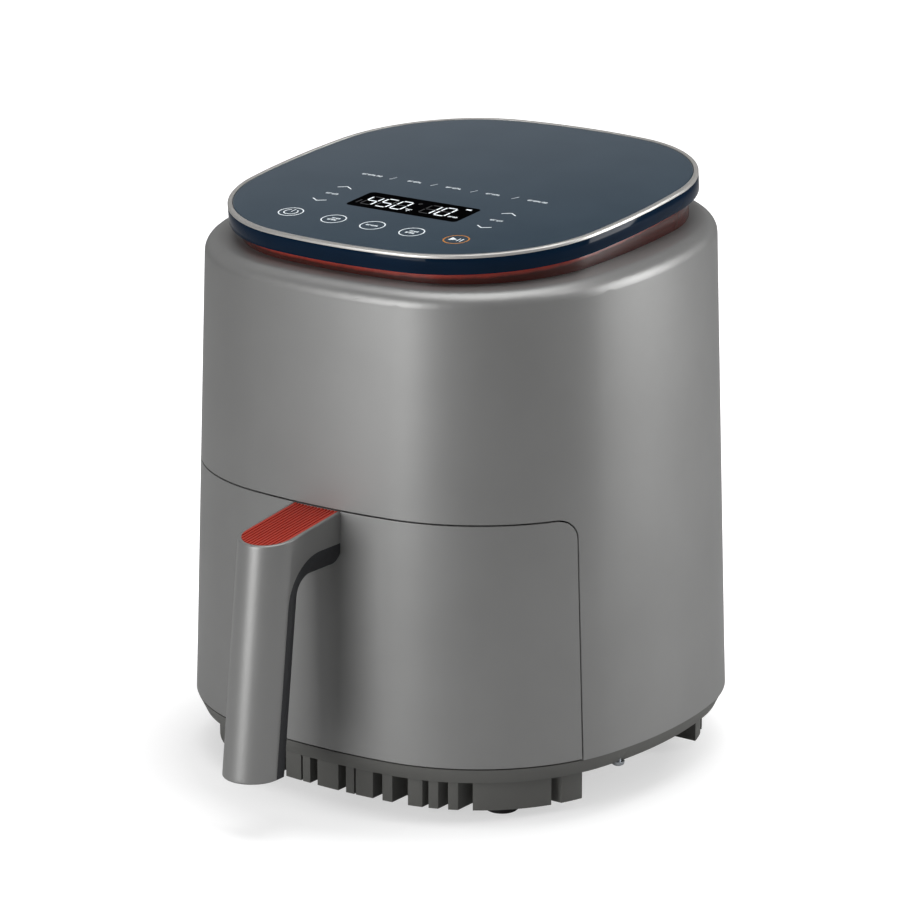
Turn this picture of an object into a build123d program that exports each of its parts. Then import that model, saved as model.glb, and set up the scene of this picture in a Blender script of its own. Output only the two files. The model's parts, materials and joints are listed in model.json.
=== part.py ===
# Basket air fryer: a lidded body shell over a cooking chamber, and a drawer with a basket, plate and handle.
# Millimetres. +Z is up, the handle points along -Y, and the origin is on the floor under the middle of the
# whole object. The body's own axis stands a little behind it, at y = body_y.
import os
from math import atan, cos, degrees, radians, sin, sqrt, tan

from build123d import *

# ---- driving dimensions: body shell -------------------------------------------------------------------
total_height = 300.2
body_half_x = 127.7
body_half_y = 124.2
body_diagonal = 0.760      # where the outline crosses its diagonal, as a share of the half width
body_corner_inset = 29.1   # from the narrower half width down to the corner's radius
body_draft = 1.87          # degrees that the walls lean in
shell_bottom = 30.2
lid_stack = 30.0           # from the shoulder on the body's axis up to the object's top
shell_tilt = 2.8           # degrees that the shoulder rises to the rear
shoulder_radius = 8.0
wall = 2.6
seam_gap = 0.8

# ---- driving dimensions: lid --------------------------------------------------------------------------
lid_half_x = 106.6
lid_half_y = 108.2
lid_diagonal = 0.775
lid_corner_inset = 29.6
lid_shift_y = 1.4
lid_tilt = 5.2
band_height = 9.8
rim_width = 2.4
rim_height = 1.6
lid_wall = 2.4
glass_thickness = 2.2
glass_sink = 0.35
ring_inset = 5.5
ring_wall = 3.0
ring_drop = 30.0           # more than reaches the shoulder, where the ring is cut off

# ---- driving dimensions: drawer, basket and handle ----------------------------------------------------
drawer_clearance = 48.9    # from the drawer's top up to the chamber's
drawer_depth = 62.8        # the drawer front wraps round to this distance in front of the axis
drawer_corner = 10.0
basket_room_x = 30.7       # from the body's widest outline in to the basket's
basket_room_y = 27.2
basket_diagonal = 0.79
basket_corner_inset = 35.0
basket_shift_y = -5.0
basket_bottom = 42.0
basket_rim_drop = 6.4
basket_wall = 1.2
basket_draft = 1.5
basket_fillet = 10.0
basket_lip = 3.0
lip_thickness = 1.5
plate_height = 52.0
plate_thickness = 1.6
plate_gap = 2.4
handle_width = 29.4
handle_reach = 52.0
handle_slope = 0.125       # fall of the arm's top per millimetre outwards, and the grip's lean
handle_bottom = 30.0
grip_back = 20.5           # depth of the whole grip; the grey shell takes the round nose of it
lip_radius = 0.8
arm_drop = 15.6            # depth of the grey shell where the arm meets the drawer
liner_drop = 8.8
insert_lip = 1.6
insert_depth = 1.4
insert_ribs = 13

# ---- driving dimensions: base -------------------------------------------------------------------------
ring_bottom = 22.3
ring_taper = 26.0
pan_floor = 3.0
foot_height = 5.5
foot_radius = 8.5
foot_x = 78.0
foot_y = 74.0
skirt_inset = 11.5
leg_depth = 25.0
leg_start_x = 76.5
leg_start_y = 51.0
leg_slot = 5.0
leg_slot_y = 65.0
vane_depth = 14.0
vane_layout = ((0.0, 13.0), (13.5, 4.8), (22.0, 10.0), (35.2, 5.6), (50.2, 7.4), (59.2, 4.6), (68.2, 4.4))

# ---- driving dimensions: chamber, heater, fans and motor ----------------------------------------------
chamber_gap = 4.8          # from the basket's wall to the chamber's inner wall
sheet = 1.2
chamber_floor_height = 32.0
motor_room = 68.2          # from the chamber's top up to the shoulder
guard_drop = 39.0
guard_gap = 11.8           # from the guard out to the chamber's wall
guard_wire = 2.4
guard_pitch = 17.0
guard_post = 2.0
heater_drop = 28.0
heater_tube = 3.2
heater_gap = 16.0          # from the guard's edge in to the outer turn's middle
heater_pitch = 22.0
fan_gap = 14.0             # from the outer turn's middle in to the fan
fan_drop = 18.0
fan_blade = 11.0
fan_eye = 20.0
cooler_gap = 6.0           # the cooling fan's radius is smaller than the convection fan's by this
cooler_rise = 3.0
cooler_blade = 8.0
cooler_eye = 16.0
hub_radius = 9.0
shaft_radius = 4.0
motor_radius = 31.0
motor_rise = 17.0
motor_height = 28.0
bearing_radius = 8.0
bearing_height = 4.0
bracket_plate = 2.0
board_thickness = 1.6
vent_half_x = 52.0
vent_size = 56.0
vent_proud = 3.0
vent_slat = 3.0
gland_height = 60.0
gland_bore = 3.6
gland_radius = 6.0
gland_flange = 9.5
gland_recess = 0.6
gland_proud = 3.0
vent_depth = 10.0
vent_corner = 8.0
boss_radius = 4.5
boss_height = 22.0
screw_radius = 1.6
head_radius = 3.2
head_height = 2.2
cable_hole = 4.0
cable_radius = 1.8
switch_drop = 56.0
switch_tall = 16.0
switch_wide = 6.0
switch_long = 20.0
switch_gap = 4.0           # from the chamber's wall to the switch
switch_y = 34.0
plunger_radius = 1.5
panel_gap = 2.5
panel_wall = 2.0
runner_x = 55.0
runner_width = 8.0
runner_length = 150.0
reflector_gap = 10.0
element_gap = 18.0         # degrees between the element's ends and its turn
duct_inset = 6.0           # the duct is smaller than the vent by this all round
duct_wall = 1.4
duct_corner = 8.0
pan_inset = 5.5
pan_fit = 0.4              # the base's edge lies in from the shell's by this
post_radius = 5.0
post_pitch = 150.0
slot_pitch = 13.0
slot_count = 9
slot_length = 90.0
slot_width = 5.0
screw_bite = 10.0
side_screw_inset = 8.1
side_screw_y = -34.0
rear_screw_inset = 13.1
rear_screw_x = 60.0
lid_screw_inset_x = 46.6
lid_screw_inset_front = 53.2
lid_screw_inset_rear = 48.2

# ---- clearances ---------------------------------------------------------------------------------------
seat = 0.3                 # between a piece and what carries it loosely
running = 0.05             # between a shaft and its bearing
screw_play = 0.3

# ---- derived values -----------------------------------------------------------------------------------
cos45 = cos(radians(45))
shell_top = total_height - lid_stack
chamber_top = shell_top - motor_room
drawer_top = chamber_top - drawer_clearance
basket_rim = drawer_top - basket_rim_drop
basket_half_x = body_half_x - basket_room_x
basket_half_y = body_half_y - basket_room_y
body_corner = min(body_half_x, body_half_y) - body_corner_inset
lid_corner = min(lid_half_x, lid_half_y) - lid_corner_inset
basket_corner = min(basket_half_x, basket_half_y) - basket_corner_inset
body_shape = (body_half_x, body_half_y, body_diagonal, body_corner)
lid_shape = (lid_half_x, lid_half_y, lid_diagonal, lid_corner)
basket_shape = (basket_half_x, basket_half_y, basket_diagonal, basket_corner)
lean = tan(radians(body_draft))
handle_root = body_half_y - (drawer_top - seam_gap - shell_bottom) * lean
nose_radius = handle_width / 2
arm_top = drawer_top - seam_gap
nose_reach = handle_root + handle_reach
nose_top = arm_top - handle_reach * handle_slope
grip_front = nose_reach + (nose_top - handle_bottom) * handle_slope
rear_reach = body_half_y + vent_proud
body_y = (grip_front - rear_reach) / 2
lid_height = total_height - lid_half_y * sin(radians(lid_tilt))
chamber_shape_x = basket_half_x + chamber_gap + sheet
chamber_shape_y = basket_half_y + chamber_gap + sheet
chamber_shape = (chamber_shape_x, chamber_shape_y, basket_diagonal, basket_corner + chamber_gap + sheet)
basket_y = body_y + basket_shift_y
chamber_underside = chamber_top - sheet
guard_height = chamber_top - guard_drop
guard_radius = basket_half_x + chamber_gap - guard_gap
heater_height = chamber_top - heater_drop
heater_outer = guard_radius - heater_gap
heater_inner = heater_outer - heater_pitch
fan_height = chamber_top - fan_drop
fan_radius = heater_outer - fan_gap
cooler_height = chamber_top + cooler_rise
cooler_radius = fan_radius - cooler_gap
reflector_radius = heater_outer - reflector_gap
motor_bottom = chamber_top + motor_rise
vent_high = chamber_top
vent_low = vent_high - vent_size
duct_half_x = vent_half_x - duct_inset
duct_low = vent_low + duct_inset
duct_high = vent_high - duct_inset
duct_tall = duct_high - duct_low
switch_height = basket_rim - switch_drop
switch_x = chamber_shape_x + switch_gap
arm_angle = degrees(atan(handle_slope))
side_screw_x = body_half_x - side_screw_inset
rear_screw_y = body_half_y - rear_screw_inset
base_screw_points = (
    (-side_screw_x, side_screw_y), (side_screw_x, side_screw_y),
    (-rear_screw_x, rear_screw_y), (rear_screw_x, rear_screw_y),
)
lid_screw_x = lid_half_x - lid_screw_inset_x
lid_screw_front = lid_screw_inset_front - lid_half_y
lid_screw_rear = lid_half_y - lid_screw_inset_rear
lid_screw_points = (
    (-lid_screw_x, lid_screw_front), (lid_screw_x, lid_screw_front),
    (-lid_screw_x, lid_screw_rear), (lid_screw_x, lid_screw_rear),
)
rear_view = Plane(origin=(0, body_y, 0), x_dir=(-1, 0, 0), z_dir=(0, 1, 0))


# ---- planes and outlines ------------------------------------------------------------------------------
def level(height, centre_y=body_y):
    """Horizontal plane at a height, centred on the body's axis."""
    return Plane(origin=(0, centre_y, height), x_dir=(1, 0, 0), z_dir=(0, 0, 1))


def level_down(height, centre_y=body_y):
    """The same plane facing down, for shapes that taper as they go down."""
    return Plane(origin=(0, centre_y, height), x_dir=(1, 0, 0), z_dir=(0, 0, -1))


def tilted(height, tilt, shift_y=0.0, drop=0.0):
    """Plane that rises to the rear by a tilt in degrees, lowered along its own normal by a drop."""
    normal = Vector(0, -sin(radians(tilt)), cos(radians(tilt)))
    origin = Vector(0, body_y + shift_y, height) - normal * drop
    return Plane(origin=origin, x_dir=(1, 0, 0), z_dir=normal)


def lid_plane(drop=0.0):
    """The lid's top plane, lowered along its normal."""
    return tilted(lid_height, lid_tilt, lid_shift_y, drop)


def shoulder_plane(drop=0.0):
    """The plane of the body's shoulder, lowered along its normal."""
    return tilted(shell_top, shell_tilt, 0.0, drop)


side_view = Plane(origin=(0, body_y, 0), x_dir=(0, -1, 0), z_dir=(-1, 0, 0))
front_view = Plane(origin=(0, body_y, 0), x_dir=(1, 0, 0), z_dir=(0, -1, 0))


def side_bow(reach, offset, corner):
    """Radius of the bowed side that runs into a corner arc without a kink."""
    return (corner**2 - reach**2 - offset**2) / (2 * (corner - reach))


def rounded_square(shape, inset=0.0):
    """Face with four bowed sides and four round corners, all tangent, drawn in from its edge by an inset."""
    half_x, half_y, diagonal, corner = shape
    centre = Vector(diagonal * half_x - corner * cos45, diagonal * half_y - corner * cos45)
    bow_x = side_bow(half_x - centre.X, centre.Y, corner)
    bow_y = side_bow(half_y - centre.Y, centre.X, corner)
    to_side = Vector(centre.X - half_x + bow_x, centre.Y).normalized()
    to_end = Vector(centre.X, centre.Y - half_y + bow_y).normalized()
    with BuildSketch() as outline:
        with BuildLine():
            side = TangentArc((half_x - inset, 0), centre + to_side * (corner - inset), tangent=(0, 1))
            turn = TangentArc(side @ 1, centre + to_end * (corner - inset), tangent=side % 1)
            TangentArc(turn @ 1, (0, half_y - inset), tangent=turn % 1)
            mirror(about=Plane.YZ)
            mirror(about=Plane.XZ)
        make_face()
    return outline.sketch


def straight_block(shape, plane, height, inset=0.0, taper=0.0):
    """Block with a rounded-square outline, standing on a plane."""
    with BuildPart() as block:
        with BuildSketch(plane):
            add(rounded_square(shape, inset))
        extrude(amount=height, taper=taper)
    return block.part


def body_block(low, high, inset=0.0):
    """Block with the body's outline and draft, from one height to another."""
    return straight_block(body_shape, level(low), high - low, inset + (low - shell_bottom) * lean, body_draft)


def drawer_window(grow=0.0):
    """Everything in front of the drawer's side seams and under its top seam, rounded where they meet."""
    rear = drawer_depth - grow
    top = drawer_top - seam_gap + grow
    low = shell_bottom + seam_gap - grow
    corner = drawer_corner + grow
    far = body_half_y * 2
    with BuildPart() as window:
        with BuildSketch(side_view):
            with BuildLine():
                Polyline((rear, top - corner), (rear, low), (far, low), (far, top), (rear + corner, top))
                CenterArc((rear + corner, top - corner), corner, 90, 90)
            make_face()
        extrude(amount=body_half_x * 2, both=True)
    return window.part


os.makedirs("parts", exist_ok=True)

# ---- body shell ---------------------------------------------------------------------------------------
def shell_form(inset):
    """The body's whole form, drawn in by an inset: leaning walls, a tilted shoulder and a round edge."""
    with BuildPart() as form:
        add(body_block(shell_bottom, total_height, inset))
        split(bisect_by=shoulder_plane(inset), keep=Keep.BOTTOM)
        fillet(form.faces().sort_by(Axis.Z)[-1].edges(), shoulder_radius - inset)
    return form.part


def rear_face(height):
    """How far behind the axis the shell's outer face lies at a height."""
    return body_half_y - (height - shell_bottom) * lean


with BuildPart() as skin:
    add(shell_form(0.0))
    add(shell_form(wall), mode=Mode.SUBTRACT)

vent_middle = (vent_low + vent_high) / 2
gland_seat = rear_face(gland_height) - gland_recess

with BuildPart() as switch_boss:
    with BuildSketch(level(switch_height - switch_tall / 2)):
        with Locations((switch_x + switch_wide, -switch_y)):
            Rectangle(body_half_x - switch_x, switch_long, align=(Align.MIN, Align.MAX))
    extrude(amount=switch_tall)
    add(shell_form(wall / 2), mode=Mode.INTERSECT)

with BuildPart() as outer_shell:
    add(skin.part)
    add(drawer_window(seam_gap), mode=Mode.SUBTRACT)
    with BuildSketch(rear_view.offset(rear_face(vent_high) - vent_depth)):
        with Locations((0, vent_middle)):
            RectangleRounded(2 * (vent_half_x + seat), vent_size + 2 * seat, vent_corner + seat)
    extrude(amount=2 * vent_depth, mode=Mode.SUBTRACT)
    with BuildSketch(rear_view.offset(gland_seat)):
        with Locations((0, gland_height)):
            Circle(gland_flange + seat)
    extrude(amount=wall, mode=Mode.SUBTRACT)
    with BuildSketch(rear_view.offset(gland_seat - wall)):
        with Locations((0, gland_height)):
            Circle(gland_radius + running)
    extrude(amount=2 * wall, mode=Mode.SUBTRACT)
    with BuildSketch(level(shell_bottom)):
        with Locations(*base_screw_points):
            Circle(boss_radius)
    extrude(amount=boss_height)
    with BuildSketch(level(shell_bottom)):
        with Locations(*base_screw_points):
            Circle(screw_radius + running)
    extrude(amount=boss_height - wall, mode=Mode.SUBTRACT)
    with BuildSketch(shoulder_plane(wall)):
        with Locations(*lid_screw_points):
            Circle(screw_radius + screw_play)
        Circle(cable_hole)
    extrude(amount=wall, mode=Mode.SUBTRACT)
    add(switch_boss.part)
outer_shell.part.label = "outer_shell"
export_step(outer_shell.part, "parts/outer_shell.step")

# ---- base ---------------------------------------------------------------------------------------------
with BuildSketch() as skirt_band:
    add(rounded_square(body_shape, skirt_inset))
    add(rounded_square(body_shape, skirt_inset + leg_depth), mode=Mode.SUBTRACT)

with BuildSketch() as vane_band:
    add(rounded_square(body_shape, skirt_inset))
    add(rounded_square(body_shape, skirt_inset + vane_depth), mode=Mode.SUBTRACT)

with BuildSketch() as vane_wall:
    add(rounded_square(body_shape, skirt_inset + vane_depth - panel_wall))
    add(rounded_square(body_shape, skirt_inset + vane_depth), mode=Mode.SUBTRACT)
    Rectangle(2 * leg_start_x, 4 * body_half_y, mode=Mode.INTERSECT)
    Rectangle(2 * leg_start_x, 2 * leg_start_y, mode=Mode.SUBTRACT)

with BuildSketch() as vanes:
    for place, width in vane_layout:
        for side in (-1, 1):
            with Locations((side * place, 0)):
                Rectangle(width, 4 * body_half_y)
    add(vane_band.sketch, mode=Mode.INTERSECT)
    Rectangle(2 * body_half_x, 2 * leg_start_y, mode=Mode.SUBTRACT)

with BuildSketch() as legs:
    add(skirt_band.sketch)
    Rectangle(2 * leg_start_x, 4 * body_half_y, mode=Mode.SUBTRACT)
    Rectangle(4 * body_half_x, 2 * leg_start_y, mode=Mode.SUBTRACT)
    with GridLocations(0, 2 * leg_slot_y, 1, 2):
        Rectangle(4 * body_half_x, leg_slot, mode=Mode.SUBTRACT)
    with GridLocations(2 * foot_x, 2 * foot_y, 2, 2):
        Circle(foot_radius + panel_wall)

with BuildPart() as base_pan:
    with BuildSketch(level_down(shell_bottom)):
        add(rounded_square(body_shape, pan_fit))
    extrude(amount=shell_bottom - ring_bottom, taper=ring_taper)
    add(body_block(ring_bottom + pan_floor, shell_bottom, pan_inset), mode=Mode.SUBTRACT)
    with BuildSketch(level(foot_height)):
        add(legs.sketch)
        add(vanes.sketch)
        add(vane_wall.sketch)
    extrude(amount=ring_bottom + pan_floor - foot_height)
    with BuildSketch(level(ring_bottom)):
        with GridLocations(slot_pitch, 0, slot_count, 1):
            SlotOverall(slot_length, slot_width, rotation=90)
    extrude(amount=pan_floor, mode=Mode.SUBTRACT)
    with BuildSketch(level(ring_bottom + pan_floor)):
        with GridLocations(post_pitch, post_pitch, 2, 2):
            Circle(post_radius)
    extrude(amount=chamber_floor_height - ring_bottom - pan_floor)
    with BuildSketch(level(ring_bottom)):
        with Locations(*base_screw_points):
            Circle(screw_radius + screw_play)
    extrude(amount=shell_bottom - ring_bottom, mode=Mode.SUBTRACT)
base_pan.part.label = "base_pan"
export_step(base_pan.part, "parts/base_pan.step")

with BuildPart() as rubber_feet:
    with BuildSketch(level(0)):
        with GridLocations(2 * foot_x, 2 * foot_y, 2, 2):
            Circle(foot_radius)
    extrude(amount=foot_height)
    chamfer(rubber_feet.faces().group_by(Axis.Z)[0].edges(), 1.0)
rubber_feet.part.label = "rubber_feet"
export_step(rubber_feet.part, "parts/rubber_feet.step")

with BuildPart() as base_screws:
    with BuildSketch(level(ring_bottom - head_height)):
        with Locations(*base_screw_points):
            Circle(head_radius)
    extrude(amount=head_height)
    with BuildSketch(level(ring_bottom)):
        with Locations(*base_screw_points):
            Circle(screw_radius)
    extrude(amount=shell_bottom - ring_bottom + screw_bite)
base_screws.part.label = "base_screws"
export_step(base_screws.part, "parts/base_screws.step")

# ---- chamber ------------------------------------------------------------------------------------------
chamber_low = chamber_floor_height + sheet
insulator_radius = 6.5
insulator_neck = 4.5
insulator_height = 6.0
sensor_offset = 6.0
sensor_y = 30.0
sensor_radius = 2.5
shaft_hole = 6.0
trim_wall = 2.0
trim_gap = 0.4
slide_fit = 0.1            # between pieces that touch along a curved face


def hot_level(height):
    """Horizontal plane centred on the chamber, the heater and the fans."""
    return level(height, basket_y)


def chamber_block(low, high, grow=0.0):
    """Block with the chamber's outline, drawn out by a margin; its sides run straight to the mouth."""
    mouth = drawer_depth + drawer_corner + basket_shift_y
    with BuildPart() as block:
        with BuildSketch(hot_level(low)):
            add(rounded_square(chamber_shape, -grow))
            Rectangle(2 * (chamber_shape_x + grow), mouth, align=(Align.CENTER, Align.MAX))
        extrude(amount=high - low)
    return block.part


with BuildPart() as chamber_floor:
    add(chamber_block(chamber_floor_height, chamber_low))
chamber_floor.part.label = "chamber_floor"
export_step(chamber_floor.part, "parts/chamber_floor.step")

terminal_angles = (90.0, 90.0 + element_gap)
terminal_points = [
    (heater_outer * cos(radians(angle)), heater_outer * sin(radians(angle))) for angle in terminal_angles
]
sensor_point = (-heater_outer - sensor_offset, sensor_y)

with BuildPart() as cooking_chamber:
    add(chamber_block(chamber_low, chamber_top))
    add(chamber_block(chamber_low, chamber_underside, -sheet), mode=Mode.SUBTRACT)
    add(drawer_window(seam_gap + trim_gap), mode=Mode.SUBTRACT)
    with BuildSketch(hot_level(chamber_underside)):
        Circle(shaft_hole)
        with Locations(*terminal_points):
            Circle(insulator_neck)
        with Locations(sensor_point):
            Circle(sensor_radius + running)
    extrude(amount=sheet, mode=Mode.SUBTRACT)
    with BuildSketch(rear_view):
        with Locations((0, (duct_low + duct_high) / 2)):
            RectangleRounded(
                2 * (duct_half_x - duct_inset), duct_tall - 2 * duct_inset, duct_corner - duct_wall,
            )
    extrude(amount=body_half_y, mode=Mode.SUBTRACT)
cooking_chamber.part.label = "cooking_chamber"
export_step(cooking_chamber.part, "parts/cooking_chamber.step")

with BuildPart() as opening_trim:
    add(body_block(chamber_low + seat, chamber_top, wall + slide_fit))
    add(drawer_window(seam_gap + trim_gap + trim_wall), mode=Mode.INTERSECT)
    add(drawer_window(seam_gap + trim_gap), mode=Mode.SUBTRACT)
    add(chamber_block(shell_bottom, chamber_top, slide_fit), mode=Mode.SUBTRACT)
    with BuildSketch(front_view):
        with Locations((switch_x + switch_wide / 2, switch_height)):
            Circle(plunger_radius + seat)
    extrude(amount=body_half_y, mode=Mode.SUBTRACT)
opening_trim.part.label = "opening_trim"
export_step(opening_trim.part, "parts/opening_trim.step")

with BuildPart() as drawer_runners:
    with BuildSketch(hot_level(chamber_low)):
        with GridLocations(2 * runner_x, 0, 2, 1):
            SlotOverall(runner_length, runner_width, rotation=90)
    extrude(amount=basket_bottom - seat - chamber_low)
drawer_runners.part.label = "drawer_runners"
export_step(drawer_runners.part, "parts/drawer_runners.step")

catch_width = 14.0
catch_leaf = 0.8
catch_bend = 4.0
catch_middle = -20.0
catch_half = 40.0
catch_ramp = 15.0
catch_crest = 5.0
catch_top = basket_bottom - seat - catch_leaf
catch_points = (
    (catch_middle - catch_half, chamber_low), (catch_middle - catch_ramp, chamber_low),
    (catch_middle - catch_crest, catch_top), (catch_middle + catch_crest, catch_top),
    (catch_middle + catch_ramp, chamber_low), (catch_middle + catch_half, chamber_low),
)
with BuildPart() as catch_springs:
    with BuildSketch(side_view):
        with BuildLine() as leaf:
            FilletPolyline(*catch_points, radius=catch_bend)
            offset(amount=catch_leaf, side=Side.LEFT, closed=True)
        make_face()
    extrude(amount=catch_width / 2, both=True)
catch_springs.part.label = "catch_springs"
export_step(catch_springs.part, "parts/catch_springs.step")

with BuildPart() as heat_reflector:
    with BuildSketch(hot_level(chamber_underside - sheet)):
        Circle(reflector_radius)
        Circle(shaft_hole, mode=Mode.SUBTRACT)
    extrude(amount=sheet)
heat_reflector.part.label = "heat_reflector"
export_step(heat_reflector.part, "parts/heat_reflector.step")

# ---- heater -------------------------------------------------------------------------------------------
turn_angle = terminal_angles[0] - element_gap
sweep_angle = 360 - (terminal_angles[1] - turn_angle)
with BuildPart() as heating_element:
    heater_centre = Vector(0, basket_y, heater_height)
    with BuildLine() as element_path:
        outer_turn = CenterArc(heater_centre, heater_outer, terminal_angles[1], sweep_angle)
        inner_turn = CenterArc(heater_centre, heater_inner, turn_angle, -(360 - element_gap))
        TangentArc(outer_turn @ 1, inner_turn @ 0, tangent=outer_turn % 1)
    with BuildSketch(Plane(origin=outer_turn @ 0, z_dir=outer_turn % 0)):
        Circle(heater_tube)
    sweep(path=element_path.wires()[0])
    with BuildSketch(Plane(origin=(0, basket_y + heater_inner, heater_height), z_dir=(0, 1, 0))):
        Circle(heater_tube)
    extrude(amount=heater_outer - heater_inner)
    with Locations((0, basket_y + heater_inner, heater_height), (0, basket_y + heater_outer, heater_height)):
        Sphere(heater_tube)
    with Locations(outer_turn @ 0):
        Sphere(heater_tube)
    with BuildSketch(hot_level(heater_height)):
        with Locations(*terminal_points):
            Circle(heater_tube)
    extrude(amount=chamber_top + 2 * insulator_height - heater_height)
heating_element.part.label = "heating_element"
export_step(heating_element.part, "parts/heating_element.step")

with BuildPart() as element_insulators:
    with BuildSketch(hot_level(chamber_underside - sheet)):
        with Locations(*terminal_points):
            Circle(insulator_neck - running)
            Circle(heater_tube + running, mode=Mode.SUBTRACT)
    extrude(amount=2 * sheet)
    with BuildSketch(hot_level(chamber_top)):
        with Locations(*terminal_points):
            Circle(insulator_radius)
            Circle(heater_tube + running, mode=Mode.SUBTRACT)
    extrude(amount=insulator_height)
element_insulators.part.label = "element_insulators"
export_step(element_insulators.part, "parts/element_insulators.step")

clip_thickness = 1.2
clip_margin = 4.0
with BuildPart() as element_clips:
    clip_outer = heater_outer + heater_tube + clip_margin
    clip_inner = heater_inner - heater_tube - clip_margin
    clip_tall = 2 * heater_tube + clip_margin
    for angle in (-90, 0, 180):
        radial = Plane(
            origin=(0, basket_y, 0), x_dir=(cos(radians(angle)), sin(radians(angle)), 0),
            z_dir=(sin(radians(angle)), -cos(radians(angle)), 0),
        )
        with BuildSketch(radial):
            with Locations((clip_inner, heater_height - clip_tall / 2)):
                Rectangle(clip_outer - clip_inner, clip_tall, align=(Align.MIN, Align.MIN))
            with Locations((clip_outer, heater_height)):
                Rectangle(clip_margin, chamber_underside - heater_height, align=(Align.MAX, Align.MIN))
            with Locations((heater_inner, heater_height), (heater_outer, heater_height)):
                Circle(heater_tube + seat, mode=Mode.SUBTRACT)
        extrude(amount=clip_thickness / 2, both=True)
element_clips.part.label = "element_clips"
export_step(element_clips.part, "parts/element_clips.step")

guard_rings = int(guard_radius / guard_pitch)
with BuildPart() as heater_guard:
    with BuildSketch(hot_level(guard_height)):
        for ring in range(guard_rings):
            ring_radius = guard_radius - ring * guard_pitch
            Circle(ring_radius)
            Circle(ring_radius - guard_wire, mode=Mode.SUBTRACT)
        with PolarLocations(0, 8):
            with Locations((guard_radius / 2, 0)):
                Rectangle(guard_radius - guard_wire / 2, guard_wire)
    extrude(amount=guard_wire)
heater_guard.part.label = "heater_guard"
export_step(heater_guard.part, "parts/heater_guard.step")

with BuildPart() as guard_posts:
    with BuildSketch(hot_level(guard_height + guard_wire)):
        with PolarLocations(guard_radius - guard_post, 4, start_angle=45):
            Circle(guard_post)
    extrude(amount=chamber_underside - guard_height - guard_wire)
guard_posts.part.label = "guard_posts"
export_step(guard_posts.part, "parts/guard_posts.step")

# ---- fans, shaft and motor ----------------------------------------------------------------------------
motor_top = motor_bottom + motor_height
nut_height = 5.0
nut_radius = 7.0
shaft_proud = 3.0
blade_slant = 18.0
convection_blades = 12
cooling_blades = 10


def fan_wheel(low, height, inner, outer, count, disc_height):
    """Fan with a hub, a disc at one height and slanted blades from the inner to the outer radius."""
    with BuildPart() as fan:
        with BuildSketch(hot_level(low)):
            Circle(hub_radius)
            with PolarLocations(0, count):
                with Locations(Location(((inner + outer) / 2, 0), blade_slant)):
                    Rectangle(outer - inner, sheet)
        extrude(amount=height)
        with BuildSketch(hot_level(disc_height)):
            Circle(outer - sheet)
        extrude(amount=sheet)
        with BuildSketch(hot_level(low)):
            Circle(shaft_radius + running)
        extrude(amount=height, mode=Mode.SUBTRACT)
    return fan.part


fan_disc = fan_height + fan_blade - sheet
convection_fan = fan_wheel(fan_height, fan_blade, fan_eye, fan_radius, convection_blades, fan_disc)
convection_fan.label = "convection_fan"
export_step(convection_fan, "parts/convection_fan.step")
cooling_fan = fan_wheel(
    cooler_height, cooler_blade, cooler_eye, cooler_radius, cooling_blades, cooler_height,
)
cooling_fan.label = "cooling_fan"
export_step(cooling_fan, "parts/cooling_fan.step")

shaft_low = fan_height - nut_height - shaft_proud / 3
with BuildPart() as motor_shaft:
    with BuildSketch(hot_level(shaft_low)):
        Circle(shaft_radius)
    extrude(amount=motor_top + shaft_proud - shaft_low)
motor_shaft.part.label = "motor_shaft"
export_step(motor_shaft.part, "parts/motor_shaft.step")

with BuildPart() as fan_nut:
    with BuildSketch(hot_level(fan_height - nut_height)):
        RegularPolygon(nut_radius, 6)
        Circle(shaft_radius + running, mode=Mode.SUBTRACT)
    extrude(amount=nut_height)
fan_nut.part.label = "fan_nut"
export_step(fan_nut.part, "parts/fan_nut.step")

motor_screw_ring = 24.0
motor_round = 2.5
motor_screw_bite = 8.0
bracket_margin = 3.0
bearing_fit = 0.02
with BuildPart() as motor:
    with BuildSketch(hot_level(motor_bottom)):
        Circle(motor_radius)
    extrude(amount=motor_height)
    fillet(motor.edges().filter_by(GeomType.CIRCLE), motor_round)
    with BuildSketch(hot_level(motor_bottom)):
        Circle(bearing_radius)
    extrude(amount=bearing_height, mode=Mode.SUBTRACT)
    with BuildSketch(hot_level(motor_top - bearing_height)):
        Circle(bearing_radius)
    extrude(amount=bearing_height, mode=Mode.SUBTRACT)
    with BuildSketch(hot_level(motor_bottom)):
        Circle(shaft_radius + 1)
        with PolarLocations(motor_screw_ring, 3, start_angle=90):
            Circle(screw_radius + running)
    extrude(amount=motor_height, mode=Mode.SUBTRACT)
motor.part.label = "motor"
export_step(motor.part, "parts/motor.step")

with BuildPart() as bearings:
    for low in (motor_bottom, motor_top - bearing_height):
        with BuildSketch(hot_level(low)):
            Circle(bearing_radius - bearing_fit)
            Circle(shaft_radius + running, mode=Mode.SUBTRACT)
        extrude(amount=bearing_height)
bearings.part.label = "bearings"
export_step(bearings.part, "parts/bearings.step")

board_wide = 32.0
board_long = 96.0
board_margin = 2.0
board_x = chamber_shape_x - board_wide / 2 - board_margin
bracket_reach = board_x - board_wide / 2 - 1
bracket_arm = 14.0
with BuildPart() as motor_bracket:
    with BuildSketch(hot_level(motor_bottom - bracket_plate)):
        Circle(motor_radius + bracket_margin)
        with PolarLocations(0, 3, start_angle=-90):
            with Locations((bracket_reach / 2, 0)):
                Rectangle(bracket_reach, bracket_arm)
        Circle(bearing_radius + 1, mode=Mode.SUBTRACT)
        with PolarLocations(motor_screw_ring, 3, start_angle=90):
            Circle(screw_radius + screw_play, mode=Mode.SUBTRACT)
    extrude(amount=bracket_plate)
    with BuildSketch(hot_level(chamber_top)):
        with PolarLocations(0, 3, start_angle=-90):
            with Locations((bracket_reach - bracket_plate / 2, 0)):
                Rectangle(bracket_plate, bracket_arm)
    extrude(amount=motor_bottom - bracket_plate - chamber_top)
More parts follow.
